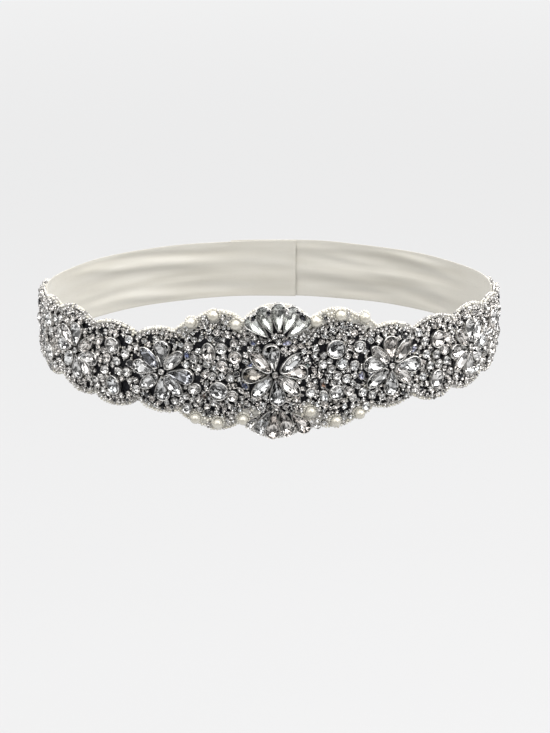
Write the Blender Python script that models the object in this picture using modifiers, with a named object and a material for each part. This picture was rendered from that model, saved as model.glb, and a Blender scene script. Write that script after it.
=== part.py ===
# Bridal sash, worn round the waist: a satin ribbon closed in a ring with a lap
# at the centre back, and on it a beaded crystal applique sewn to a scalloped
# net backing. Metres, +Z up, the front of the sash faces -Y.
#
# Every piece is laid out flat first: u runs along the sash from its centre
# front (to the right of a viewer in front), v runs up, h stands out from the
# waist. A flat point is stored as (u, -h, v) and bend() lays it round the waist.

import math

import bpy
import bmesh
import numpy as np
from mathutils import Matrix, Vector

for old in list(bpy.data.objects):
    bpy.data.objects.remove(old, do_unlink=True)

MM = 0.001

# Waist, over the gown, at the ribbon's inner face.
WAIST_HALF_WIDTH = 127.5 * MM
WAIST_HALF_DEPTH = 94.0 * MM

# Layers, as heights above the waist.
WALL = 1.0 * MM                 # ribbon and net backing
SEAM_GAP = 0.3 * MM
BACKING_IN = WALL + SEAM_GAP
BACKING_OUT = BACKING_IN + WALL
TRIM_IN = BACKING_OUT + 0.4 * MM   # underside of all that is sewn to the net
FIELD_OUT = TRIM_IN + 2.3 * MM
PLATE_OUT = TRIM_IN + 1.0 * MM
GIRDLE_OUT = TRIM_IN + 2.0 * MM
CROWN_OUT = TRIM_IN + 4.2 * MM

RIBBON_WIDTH = 36.0 * MM
RIBBON_LAP = 40.0 * MM
RIBBON_LAP_LIFT = WALL + 0.4 * MM
RIBBON_COLUMNS = 140

BACKING_HALF_LENGTH = 218.0 * MM
BACKING_COLUMNS = 100
FIELD_INSET = 1.2 * MM
FIELD_COLUMNS = 40
END_HALF_HEIGHT = 3.0 * MM
SHORTEST_EDGE = 0.03 * MM

PETAL_TEAR_START = 4.2 * MM
PETAL_TEAR_LENGTH = 14.2 * MM
PETAL_TEAR_WIDTH = 9.6 * MM
PETAL_LEAF_START = 4.4 * MM
PETAL_LEAF_LENGTH = 15.0 * MM
PETAL_LEAF_WIDTH = 7.4 * MM
FLOWER_HOLE = 20.6 * MM
FLOWER_PLATE = 8.5 * MM
FLOWER_BOSS = 2.6 * MM

PEARL_RADIUS = 2.8 * MM
FAN_CENTRE_TOP = (0.5 * MM, 16.5 * MM)
FAN_CENTRE_BOTTOM = (0.0, -14.5 * MM)

# Scalloped outline of the net: the right half, as discs whose union is the
# outline. name, u, v and radius of the upper disc, v and radius of the lower.
SCALLOPS = (
    ("centre fan",      0.0,  16.5, 22.0, -16.5, 22.0),
    ("pearls, inner",  31.0,  17.5, 17.5, -14.5, 17.8),
    ("pearls, outer",  40.0,  12.0, 18.0, -11.0, 17.2),
    ("second flower",  61.5,   0.0, 24.0,   0.0, 24.0),
    ("stone pair",     91.0,   0.0, 24.0,   0.0, 24.0),
    ("third flower",  117.0,   0.0, 24.0,   0.0, 24.0),
    ("far pair",      142.0,   0.0, 22.0,   0.0, 22.0),
    ("taper one",     165.0,   0.0, 20.0,   0.0, 20.0),
    ("taper two",     187.0,   0.0, 17.0,   0.0, 17.0),
    ("tip",           206.0,   0.0, 12.0,   0.0, 12.0),
)

# The bead field stops below the pearls, which sit straight on the net.
FIELD_SCALLOPS = (
    ("centre",          0.0,   0.0, 24.0,   0.0, 24.0),
    ("pearls",         33.0,   8.0, 17.2,  -6.5, 16.5),
) + tuple((name, u, vt, rt - 1.2, vb, rb - 1.2)
          for name, u, vt, rt, vb, rb in SCALLOPS[3:])

# How far the worn sash rises or dips along its length: u, rise.
RISE = (
    (-350.0, 0.0), (-230.0, 0.0), (-175.0, 2.0), (-128.0, 2.0), (-98.0, -1.6),
    (-62.0, -0.8), (0.0, 1.0), (62.0, 0.5), (95.0, -0.4), (128.0, 0.6),
    (175.0, 1.0), (230.0, 0.0), (350.0, 0.0),
)

# Flowers: name, u, v, scale.
FLOWERS = (
    ("flower_centre", 0.0, 0.0, 1.0),
    ("flower_left", -61.0, 0.0, 1.0),
    ("flower_right", 62.0, 0.0, 1.0),
    ("flower_far_left", -116.0, 0.0, 0.92),
    ("flower_far_right", 116.0, 0.0, 0.92),
)

# Fan stones: angle from upright, start radius, length, width.
FAN_TOP = (
    ("far left",  -47.0, 7.0, 14.5, 7.0),
    ("left",      -23.5, 7.0, 14.5, 7.0),
    ("middle",      0.0, 7.0, 14.5, 7.0),
    ("right",      23.5, 7.0, 14.5, 7.0),
    ("far right",  47.0, 7.0, 14.5, 7.0),
)
FAN_BOTTOM = (
    ("far left",  -42.0, 14.0,  7.8, 3.8),
    ("left",      -28.0,  8.0, 12.8, 5.8),
    ("middle",     -7.0,  8.2, 13.4, 6.4),
    ("right",      16.5,  7.6, 12.8, 7.2),
    ("far right",  41.0, 12.0, 12.6, 6.8),
)

# Single stones: name, u, v, width, height.
STONES = (
    ("stone_oval_left",        -35.6,  12.0,  7.6, 11.0),
    ("stone_round_left",       -30.5,  -9.8, 10.6, 10.6),
    ("stone_round_right",       31.0,  12.8, 10.6, 10.6),
    ("stone_low_right",         31.5, -12.0,  8.6,  8.6),
    ("stone_pair_left_high",   -90.0,  11.0,  9.6,  9.6),
    ("stone_pair_left_low",    -90.0, -12.0,  9.2, 11.0),
    ("stone_pair_right_high",   91.0,  11.0,  9.6,  9.6),
    ("stone_pair_right_low",    91.0, -12.0,  9.2, 11.0),
    ("stone_far_left_high",   -142.0,   9.5,  8.6,  8.6),
    ("stone_far_left_low",    -142.0,  -9.5,  8.6,  8.6),
    ("stone_far_right_high",   142.0,   9.5,  8.6,  8.6),
    ("stone_far_right_low",    142.0,  -9.5,  8.6,  8.6),
)

# Pearls: name, u, v.
PEARLS = (
    ("pearl_top_left_outer",     -45.0,  28.6),
    ("pearl_top_left_middle",    -33.1,  33.0),
    ("pearl_top_left_inner",     -21.4,  27.8),
    ("pearl_top_right_inner",     20.3,  28.8),
    ("pearl_top_right_middle",    33.2,  31.6),
    ("pearl_top_right_outer",     46.4,  29.3),
    ("pearl_bottom_left_outer",  -43.0, -25.9),
    ("pearl_bottom_left_middle", -31.1, -28.4),
    ("pearl_bottom_left_inner",  -17.7, -26.3),
    ("pearl_bottom_right_inner",  17.8, -22.4),
    ("pearl_bottom_right_middle", 31.4, -28.7),
    ("pearl_bottom_right_outer",  44.5, -25.5),
)


# ---------------------------------------------------------------- the waist

_T = np.linspace(-math.pi, math.pi, 7201)
_X = WAIST_HALF_WIDTH * np.sin(_T)
_Y = -WAIST_HALF_DEPTH * np.cos(_T)
_S = np.concatenate([[0.0], np.cumsum(np.hypot(np.diff(_X), np.diff(_Y)))])
PERIMETER = float(_S[-1])
_S = _S - PERIMETER / 2.0


def rise(u):
    """Height of the worn sash's middle line above the level waist."""
    u = (u + PERIMETER / 2.0) % PERIMETER - PERIMETER / 2.0
    for (u0, z0), (u1, z1) in zip(RISE, RISE[1:]):
        if u0 * MM <= u <= u1 * MM:
            k = (u - u0 * MM) / ((u1 - u0) * MM)
            return (z0 + (z1 - z0) * (0.5 - 0.5 * math.cos(math.pi * k))) * MM
    return 0.0


def bend(co):
    """Flat point (u, -h, v) to its place round the waist."""
    u, h, v = co[0], -co[1], co[2]
    s = (u + PERIMETER / 2.0) % PERIMETER - PERIMETER / 2.0
    t = float(np.interp(s, _S, _T))
    nx = WAIST_HALF_DEPTH * math.sin(t)
    ny = -WAIST_HALF_WIDTH * math.cos(t)
    n = math.hypot(nx, ny)
    return Vector((WAIST_HALF_WIDTH * math.sin(t) + h * nx / n,
                   -WAIST_HALF_DEPTH * math.cos(t) + h * ny / n,
                   v + rise(u)))


def half_height(u, table, upper):
    """Outline height at u: the union of the scallop discs."""
    best = END_HALF_HEIGHT
    for _name, cu, vt, rt, vb, rb in table:
        v, r = (vt, rt) if upper else (-vb, rb)
        d = abs(abs(u) - cu * MM)
        if d < r * MM:
            best = max(best, v * MM + math.sqrt((r * MM) ** 2 - d * d))
    return best


# ------------------------------------------------------------------ helpers

def collection(name):
    found = bpy.data.collections.new(name)
    bpy.context.scene.collection.children.link(found)
    return found


PARTS = collection("bridal_sash")
CUTTERS = collection("cutters")


def material(name, colour, roughness, metallic=0.0):
    mat = bpy.data.materials.new(name)
    mat.use_nodes = True
    shader = mat.node_tree.nodes["Principled BSDF"]
    shader.inputs["Base Color"].default_value = (*colour, 1.0)
    shader.inputs["Roughness"].default_value = roughness
    shader.inputs["Metallic"].default_value = metallic
    return mat


def add_object(name, bm, group, mat=None):
    bmesh.ops.recalc_face_normals(bm, faces=bm.faces)
    mesh = bpy.data.meshes.new(name)
    bm.to_mesh(mesh)
    bm.free()
    ob = bpy.data.objects.new(name, mesh)
    group.objects.link(ob)
    if mat is not None:
        mesh.materials.append(mat)
    if group is CUTTERS:
        ob.hide_render = True
        ob.display_type = "WIRE"
    return ob


def solidify(ob, thickness, offset=0.0):
    mod = ob.modifiers.new("Wall", "SOLIDIFY")
    mod.thickness = thickness
    mod.offset = offset
    mod.use_even_offset = True


def boolean(ob, other, operation):
    mod = ob.modifiers.new(operation.title(), "BOOLEAN")
    mod.operation = operation
    mod.solver = "EXACT"
    mod.object = other


def realise(ob):
    """Replace an object's mesh with what its modifiers make of it."""
    graph = bpy.context.evaluated_depsgraph_get()
    mesh = bpy.data.meshes.new_from_object(ob.evaluated_get(graph))
    old = ob.data
    ob.modifiers.clear()
    ob.data = mesh
    bpy.data.meshes.remove(old)


def lay_round_waist(ob, pitch):
    """Cut a flat piece into columns, triangulate it and bend it."""
    bm = bmesh.new()
    bm.from_mesh(ob.data)
    if pitch:
        low = min(v.co.x for v in bm.verts)
        high = max(v.co.x for v in bm.verts)
        for k in range(math.ceil(low / pitch), math.floor(high / pitch) + 1):
            bmesh.ops.bisect_plane(
                bm, geom=bm.verts[:] + bm.edges[:] + bm.faces[:], dist=1e-6,
                plane_co=(k * pitch, 0.0, 0.0), plane_no=(1.0, 0.0, 0.0))
    bmesh.ops.remove_doubles(bm, verts=bm.verts[:], dist=SHORTEST_EDGE)
    bmesh.ops.dissolve_degenerate(bm, edges=bm.edges[:], dist=SHORTEST_EDGE)
    bmesh.ops.triangulate(bm, faces=bm.faces[:])
    for v in bm.verts:
        v.co = bend(v.co)
    bm.to_mesh(ob.data)
    bm.free()


def prism(bm, outline, low, high):
    """Flat outline of (u, v) points, extruded from height low to high."""
    face = bm.faces.new([bm.verts.new((u, -low, v)) for u, v in outline])
    raised = bmesh.ops.extrude_face_region(bm, geom=[face])["geom"]
    top = [v for v in raised if isinstance(v, bmesh.types.BMVert)]
    bmesh.ops.translate(bm, vec=(0.0, -(high - low), 0.0), verts=top)
    return [f for f in raised if isinstance(f, bmesh.types.BMFace)][0]


def cut_stone(bm, outline):
    """A cut stone: an upright girdle, then a crown sloping to a flat table."""
    top = prism(bm, outline, TRIM_IN, GIRDLE_OUT)
    raised = bmesh.ops.extrude_face_region(bm, geom=[top])["geom"]
    verts = [v for v in raised if isinstance(v, bmesh.types.BMVert)]
    bmesh.ops.delete(bm, geom=[top], context="FACES_ONLY")
    middle = Vector((sum(u for u, _ in outline) / len(outline), 0.0,
                     sum(v for _, v in outline) / len(outline)))
    for v in verts:
        v.co.x = middle.x + (v.co.x - middle.x) * 0.58
        v.co.z = middle.z + (v.co.z - middle.z) * 0.58
        v.co.y = -CROWN_OUT


def placed(points, angle, cu, cv):
    """Points (along, across) turned to an angle from upright, about a centre."""
    s, c = math.sin(angle), math.cos(angle)
    return [(cu + a * s + b * c, cv + a * c - b * s) for a, b in points]


def teardrop(start, length, width):
    """Pointed at the start, round at the far end: (along, across) points."""
    r = width / 2.0
    centre = start + length - r
    reach = centre - start
    touch = math.acos(r / reach)
    points = [(start, 0.0)]
    for k in range(8):
        a = (math.pi - touch) * (1.0 - 2.0 * k / 7.0)
        points.append((centre + r * math.cos(a), r * math.sin(a)))
    return points


def leaf(start, length, width):
    """Pointed at both ends: (along, across) points."""
    points = []
    for side in (1.0, -1.0):
        for k in range(4):
            x = k / 4.0 if side > 0 else 1.0 - k / 4.0
            points.append((start + length * x,
                           side * width / 2.0 * math.sin(math.pi * x)))
    return points


def disc(bm, u, v, radius_u, radius_v, low, high, segments, top=1.0):
    """A round or oval block, or with top below 1 a tapering one."""
    turn = Matrix.Rotation(math.radians(90.0), 4, "X")
    place = Matrix.Translation((u, -(low + high) / 2.0, v)) @ Matrix.Diagonal(
        (radius_u, 1.0, radius_v, 1.0)) @ turn
    bmesh.ops.create_cone(bm, cap_ends=True, segments=segments, radius1=1.0,
                          radius2=top, depth=high - low, matrix=place)


# ------------------------------------------------------------- the two cloths

def make_ribbon(mat):
    """Satin ribbon, one flat strip whose ends lap at the centre back."""
    half = PERIMETER / 2.0 + RIBBON_LAP / 2.0
    bm = bmesh.new()
    bmesh.ops.create_grid(bm, x_segments=RIBBON_COLUMNS, y_segments=1, size=1.0)
    for v in bm.verts:
        u = v.co.x * half
        # The right end climbs over the left one before the lap starts.
        k = min(max((u - (half - RIBBON_LAP - 40.0 * MM)) / (32.0 * MM), 0.0), 1.0)
        lift = RIBBON_LAP_LIFT * (0.5 - 0.5 * math.cos(math.pi * k))
        side = v.co.y * RIBBON_WIDTH / 2.0
        v.co = bend((u, -(WALL / 2.0 + lift), side))
    ob = add_object("ribbon", bm, PARTS, mat)
    solidify(ob, WALL)
    ob.data.shade_smooth()
    return ob


def make_backing(mat):
    """Scalloped net that carries the stones, beads and pearls."""
    bm = bmesh.new()
    bmesh.ops.create_grid(bm, x_segments=BACKING_COLUMNS, y_segments=1, size=1.0)
    for v in bm.verts:
        u = v.co.x * BACKING_HALF_LENGTH
        upper = v.co.y > 0.0
        side = half_height(u, SCALLOPS, upper) * (1.0 if upper else -1.0)
        v.co = bend((u, -(BACKING_IN + WALL / 2.0), side))
    ob = add_object("backing", bm, PARTS, mat)
    solidify(ob, WALL)
    ob.data.shade_smooth()
    return ob


# --------------------------------------------------- what is sewn on the net

def fan_sector(centre, sign, r0, r1, half_angle, steps):
    """Outline of a fan: between two arcs about its centre."""
    cu, cv = centre
    points = []
    for r, order in ((r1, range(steps + 1)), (r0, range(steps, -1, -1))):
        for k in order:
            a = half_angle * (2.0 * k / steps - 1.0)
            points.append((cu + r * math.sin(a), cv + sign * r * math.cos(a)))
    return points


def make_fan(name, table, centre, sign, spread, mat):
    bm = bmesh.new()
    prism(bm, fan_sector(centre, sign, 6.4 * MM, 20.0 * MM, math.radians(spread), 6),
          TRIM_IN, PLATE_OUT)
    plate = add_object(name, bm, PARTS, mat)
    bm = bmesh.new()
    for _row, angle, start, length, width in table:
        turned = math.radians(angle if sign > 0 else 180.0 - angle)
        cut_stone(bm, placed(teardrop(start * MM, length * MM, width * MM),
                             turned, *centre))
    stones = add_object(name + "_stones", bm, CUTTERS)
    boolean(plate, stones, "UNION")
    realise(plate)
    lay_round_waist(plate, 8.0 * MM)
    return plate


def make_flower(name, u, v, scale, mat):
    """Eight petals of cut stone round a boss, held by a small plate."""
    bm = bmesh.new()
    disc(bm, 0.0, 0.0, FLOWER_PLATE * scale, FLOWER_PLATE * scale,
         TRIM_IN, PLATE_OUT, 16)
    plate = add_object(name, bm, PARTS, mat)
    bm = bmesh.new()
    for k in range(8):
        if k % 2 == 0:
            shape = teardrop(PETAL_TEAR_START * scale, PETAL_TEAR_LENGTH * scale,
                             PETAL_TEAR_WIDTH * scale)
        else:
            shape = leaf(PETAL_LEAF_START * scale, PETAL_LEAF_LENGTH * scale,
                         PETAL_LEAF_WIDTH * scale)
        cut_stone(bm, placed(shape, math.radians(45.0 * k), 0.0, 0.0))
    disc(bm, 0.0, 0.0, FLOWER_BOSS * scale, FLOWER_BOSS * scale,
         TRIM_IN, GIRDLE_OUT + 1.0 * MM, 10)
    petals = add_object(name + "_petals", bm, CUTTERS)
    boolean(plate, petals, "UNION")
    realise(plate)
    for vert in plate.data.vertices:
        vert.co.x += u * MM
        vert.co.z += v * MM
    lay_round_waist(plate, 8.0 * MM)
    return plate


def make_stone(name, u, v, width, height, mat):
    bm = bmesh.new()
    outline = [(u * MM + width / 2.0 * MM * math.cos(2.0 * math.pi * k / 12.0),
                v * MM + height / 2.0 * MM * math.sin(2.0 * math.pi * k / 12.0))
               for k in range(12)]
    cut_stone(bm, outline)
    ob = add_object(name, bm, PARTS, mat)
    lay_round_waist(ob, 0.0)
    return ob


def make_pearl(name, u, v, mat):
    bm = bmesh.new()
    bmesh.ops.create_uvsphere(bm, u_segments=10, v_segments=7, radius=PEARL_RADIUS)
    ob = add_object(name, bm, PARTS, mat)
    ob.location = bend((u * MM, -(TRIM_IN + PEARL_RADIUS), v * MM))
    ob.data.shade_smooth()
    return ob


def make_field(name, side, mat):
    """Close-set small stones and beads, with room for the larger ones."""
    start, end = 0.4 * MM, BACKING_HALF_LENGTH - FIELD_INSET
    bm = bmesh.new()
    bmesh.ops.create_grid(bm, x_segments=FIELD_COLUMNS, y_segments=1, size=1.0)
    for v in bm.verts:
        u = side * (start + (end - start) * (v.co.x + 1.0) / 2.0)
        upper = v.co.y > 0.0
        height = half_height(u, FIELD_SCALLOPS, upper)
        v.co = Vector((u, -TRIM_IN, height if upper else -height))
    bmesh.ops.recalc_face_normals(bm, faces=bm.faces)
    raised = bmesh.ops.extrude_face_region(bm, geom=bm.faces[:])["geom"]
    bmesh.ops.translate(
        bm, vec=(0.0, -(FIELD_OUT - TRIM_IN), 0.0),
        verts=[v for v in raised if isinstance(v, bmesh.types.BMVert)])
    field = add_object(name, bm, PARTS, mat)

    low, high = TRIM_IN - 2.0 * MM, FIELD_OUT + 2.0 * MM
    bm = bmesh.new()
    for _name, u, v, scale in FLOWERS:
        if u * side >= 0.0:
            r = FLOWER_HOLE * scale
            disc(bm, u * MM, v * MM, r, r, low, high, 20)
    for _name, u, v, width, height in STONES:
        if u * side > 0.0:
            disc(bm, u * MM, v * MM, (width / 2.0 + 0.6) * MM,
                 (height / 2.0 + 0.6) * MM, low, high, 10)
    holes = add_object(name + "_holes", bm, CUTTERS)
    boolean(field, holes, "DIFFERENCE")
    bm = bmesh.new()
    for centre, sign in ((FAN_CENTRE_TOP, 1.0), (FAN_CENTRE_BOTTOM, -1.0)):
        prism(bm, fan_sector(centre, sign, 2.6 * MM, 26.0 * MM,
                             math.radians(66.0), 6), low, high)
    fans = add_object(name + "_fan_room", bm, CUTTERS)
    boolean(field, fans, "DIFFERENCE")
    realise(field)
    lay_round_waist(field, 0.0)
    return field


# --------------------------------------------------------------------- build

SATIN = (0.86, 0.84, 0.80)
NET = (0.82, 0.79, 0.72)
SILVER = (0.52, 0.51, 0.50)
CRYSTAL = (0.80, 0.83, 0.84)
PEARL = (0.90, 0.87, 0.79)

make_ribbon(material("ribbon_satin", SATIN, 0.38))
make_backing(material("backing_net", NET, 0.9))
make_field("bead_field_left", -1.0, material("field_left_silver", SILVER, 0.3, 0.9))
make_field("bead_field_right", 1.0, material("field_right_silver", SILVER, 0.3, 0.9))
for _n, _u, _v, _k in FLOWERS:
    make_flower(_n, _u, _v, _k, material(_n + "_crystal", CRYSTAL, 0.08))
make_fan("fan_top", FAN_TOP, FAN_CENTRE_TOP, 1.0, 56.0,
         material("fan_top_crystal", CRYSTAL, 0.08))
make_fan("fan_bottom", FAN_BOTTOM, FAN_CENTRE_BOTTOM, -1.0, 46.0,
         material("fan_bottom_crystal", CRYSTAL, 0.08))
for _n, _u, _v, _w, _h in STONES:
    make_stone(_n, _u, _v, _w, _h, material(_n + "_crystal", CRYSTAL, 0.08))
for _n, _u, _v in PEARLS:
    make_pearl(_n, _u, _v, material(_n + "_nacre", PEARL, 0.25))
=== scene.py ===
import math

import bpy
import numpy as np
from mathutils import Matrix, Vector


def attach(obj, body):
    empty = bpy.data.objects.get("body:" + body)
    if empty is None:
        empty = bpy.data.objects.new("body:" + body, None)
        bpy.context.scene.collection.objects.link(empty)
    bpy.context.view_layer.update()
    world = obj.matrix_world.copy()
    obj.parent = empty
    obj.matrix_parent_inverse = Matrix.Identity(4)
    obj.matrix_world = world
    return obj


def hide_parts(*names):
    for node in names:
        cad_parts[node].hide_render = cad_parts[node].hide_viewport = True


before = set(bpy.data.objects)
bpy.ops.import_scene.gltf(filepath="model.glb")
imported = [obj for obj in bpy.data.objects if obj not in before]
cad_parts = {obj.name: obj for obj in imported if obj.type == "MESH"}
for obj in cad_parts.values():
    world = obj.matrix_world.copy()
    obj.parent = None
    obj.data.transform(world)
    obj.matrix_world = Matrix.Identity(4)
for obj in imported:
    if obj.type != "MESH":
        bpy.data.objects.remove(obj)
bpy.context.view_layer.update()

MM = 0.001
rng = np.random.default_rng(20)

# ---------------------------------------------------------------------------
# The same flat layout as the solids: u along the sash from its centre front,
# v up, h out from the waist. All of it in millimetres until lay().
# ---------------------------------------------------------------------------
HALF_WIDTH, HALF_DEPTH = 127.5, 94.0
NET_IN, NET_OUT = 1.35, 2.25
BED_OUT = 2.62
SEAT = 2.66                       # where settings stand on the bed

SCALLOPS = (
    ("centre fan",      0.0,  16.3, 22.0, -15.9, 21.8),
    ("pearls, inner",  31.0,  17.5, 17.5, -14.5, 17.8),
    ("pearls, outer",  40.0,  12.0, 18.0, -11.0, 17.2),
    ("second flower",  61.5,   0.0, 24.0,   0.0, 24.0),
    ("stone pair",     91.0,   0.0, 24.0,   0.0, 24.0),
    ("third flower",  117.0,   0.0, 24.0,   0.0, 24.0),
    ("far pair",      142.0,   0.0, 22.0,   0.0, 22.0),
    ("taper one",     165.0,   0.0, 20.0,   0.0, 20.0),
    ("taper two",     187.0,   0.0, 17.0,   0.0, 17.0),
    ("tip",           206.0,   0.0, 12.0,   0.0, 12.0),
)
NET_HALF_LENGTH = 218.0
FIELD_SCALLOPS = (
    ("centre",          0.0,   0.0, 24.0,   0.0, 24.0),
    ("pearls",         33.0,  10.0, 18.2,  -8.5, 17.6),
) + tuple((name, u, vt, rt - 1.2, vb, rb - 1.2)
          for name, u, vt, rt, vb, rb in SCALLOPS[3:])

RISE = (
    (-350.0, 0.0), (-230.0, 0.0), (-175.0, 2.0), (-128.0, 2.0), (-98.0, -1.6),
    (-62.0, -0.8), (0.0, 1.0), (62.0, 0.5), (95.0, -0.4), (128.0, 0.6),
    (175.0, 1.0), (230.0, 0.0), (350.0, 0.0),
)

FAN_CENTRE_TOP = (0.5, 16.5)
FAN_CENTRE_BOTTOM = (0.0, -14.5)
FAN_TOP = (
    ("far left",  -50.0, 6.2, 16.0, 8.0),
    ("left",      -25.0, 6.6, 16.0, 8.3),
    ("middle",      0.0, 6.8, 15.8, 8.5),
    ("right",      24.5, 6.6, 16.0, 8.3),
    ("far right",  49.0, 6.2, 16.0, 8.2),
)
FAN_BOTTOM = (
    ("far left",  -43.5, 13.0,  9.8, 5.2),
    ("left",      -28.0,  7.8, 14.8, 7.5),
    ("middle",     -7.0,  7.6, 15.8, 8.3),
    ("right",      16.5,  6.8, 16.0, 9.2),
    ("far right",  41.0, 11.0, 14.8, 8.8),
)
STONES = (
    ("stone_oval_left",        -35.6,  12.0,  7.6, 11.0),
    ("stone_round_left",       -30.5,  -9.8, 10.6, 10.6),
    ("stone_round_right",       31.0,  12.8, 10.6, 10.6),
    ("stone_low_right",         31.5, -12.0,  8.6,  8.6),
    ("stone_pair_left_high",   -90.0,  11.0,  9.6,  9.6),
    ("stone_pair_left_low",    -90.0, -12.0,  9.2, 11.0),
    ("stone_pair_right_high",   91.0,  11.0,  9.6,  9.6),
    ("stone_pair_right_low",    91.0, -12.0,  9.2, 11.0),
    ("stone_far_left_high",   -142.0,   9.5,  8.6,  8.6),
    ("stone_far_left_low",    -142.0,  -9.5,  8.6,  8.6),
    ("stone_far_right_high",   142.0,   9.5,  8.6,  8.6),
    ("stone_far_right_low",    142.0,  -9.5,  8.6,  8.6),
)
PEARLS = (
    ("pearl_top_left_outer",     -45.0,  28.6),
    ("pearl_top_left_middle",    -33.1,  33.0),
    ("pearl_top_left_inner",     -21.4,  27.8),
    ("pearl_top_right_inner",     20.3,  28.8),
    ("pearl_top_right_middle",    33.2,  31.6),
    ("pearl_top_right_outer",     46.4,  29.3),
    ("pearl_bottom_left_outer",  -43.0, -25.9),
    ("pearl_bottom_left_middle", -31.1, -28.4),
    ("pearl_bottom_left_inner",  -17.7, -26.3),
    ("pearl_bottom_right_inner",  17.8, -22.4),
    ("pearl_bottom_right_middle", 31.4, -28.7),
    ("pearl_bottom_right_outer",  44.5, -25.5),
)

# The petals of each flower: kind, angle clockwise from up, start, length, width.
PEAR, LEAF = "pear", "leaf"
PETALS = {
    "flower_centre": (-1.0, -0.6, 1.0, (
        (PEAR, -9.0, 3.0, 16.2, 9.4), (LEAF, 52.0, 3.2, 16.0, 7.2),
        (PEAR, 84.0, 4.2, 14.2, 8.4), (LEAF, 130.0, 3.0, 15.2, 7.4),
        (PEAR, 174.0, 3.0, 15.6, 9.2), (LEAF, 224.0, 3.4, 15.0, 7.2),
        (PEAR, 271.0, 3.4, 15.2, 9.4), (LEAF, 314.0, 3.0, 15.6, 7.8))),
    "flower_left": (-61.2, -0.3, 1.0, (
        (PEAR, 2.0, 3.6, 15.4, 9.2), (LEAF, 42.0, 3.0, 14.6, 7.0),
        (PEAR, 97.0, 3.4, 15.4, 9.4), (LEAF, 140.0, 3.0, 14.6, 7.6),
        (PEAR, 178.0, 3.2, 14.2, 9.0), (LEAF, 229.0, 3.4, 13.8, 7.4),
        (PEAR, 277.0, 3.4, 14.2, 8.4), (LEAF, 316.0, 3.2, 14.8, 7.8))),
    "flower_right": (62.2, 0.2, 1.0, (
        (PEAR, -4.0, 3.4, 14.6, 8.6), (LEAF, 40.0, 3.2, 15.4, 8.0),
        (PEAR, 94.0, 3.2, 15.4, 9.6), (LEAF, 133.0, 3.2, 14.0, 7.2),
        (PEAR, 180.0, 3.4, 14.4, 9.0), (LEAF, 232.0, 3.2, 15.0, 8.4),
        (PEAR, 281.0, 3.2, 14.0, 9.4), (LEAF, 316.0, 3.2, 14.2, 6.8))),
    "flower_far_left": (-116.0, 0.0, 0.94, (
        (PEAR, 4.0, 3.4, 14.6, 9.2), (LEAF, 50.0, 3.4, 14.6, 7.4),
        (PEAR, 93.0, 3.4, 14.0, 8.8), (LEAF, 137.0, 3.4, 14.8, 7.6),
        (PEAR, 176.0, 3.4, 14.6, 9.2), (LEAF, 222.0, 3.4, 14.8, 7.2),
        (PEAR, 268.0, 3.4, 14.4, 9.2), (LEAF, 314.0, 3.4, 14.8, 7.6))),
    "flower_far_right": (116.0, 0.0, 0.94, (
        (PEAR, -3.0, 3.4, 14.6, 9.2), (LEAF, 44.0, 3.4, 14.6, 7.4),
        (PEAR, 88.0, 3.4, 14.0, 8.8), (LEAF, 133.0, 3.4, 14.8, 7.6),
        (PEAR, 183.0, 3.4, 14.6, 9.2), (LEAF, 226.0, 3.4, 14.8, 7.2),
        (PEAR, 272.0, 3.4, 14.4, 9.2), (LEAF, 318.0, 3.4, 14.8, 7.6))),
}

# Petals whose foil takes this place on the foil's ramp, not a random one.
SHADED_PETALS = {("flower_centre", 271.0): 0.984, ("flower_centre", 84.0): 0.905,
                 ("flower_left", 97.0): 0.075, ("flower_left", 316.0): 0.074}

# How far each petal of the middle flower leans outward, in radians.
PETAL_TILTS = {-9.0: -0.26, 52.0: 0.26, 84.0: -0.13, 130.0: -0.26,
               174.0: -0.13, 224.0: -0.26, 271.0: -0.26, 314.0: 0.13}

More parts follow.
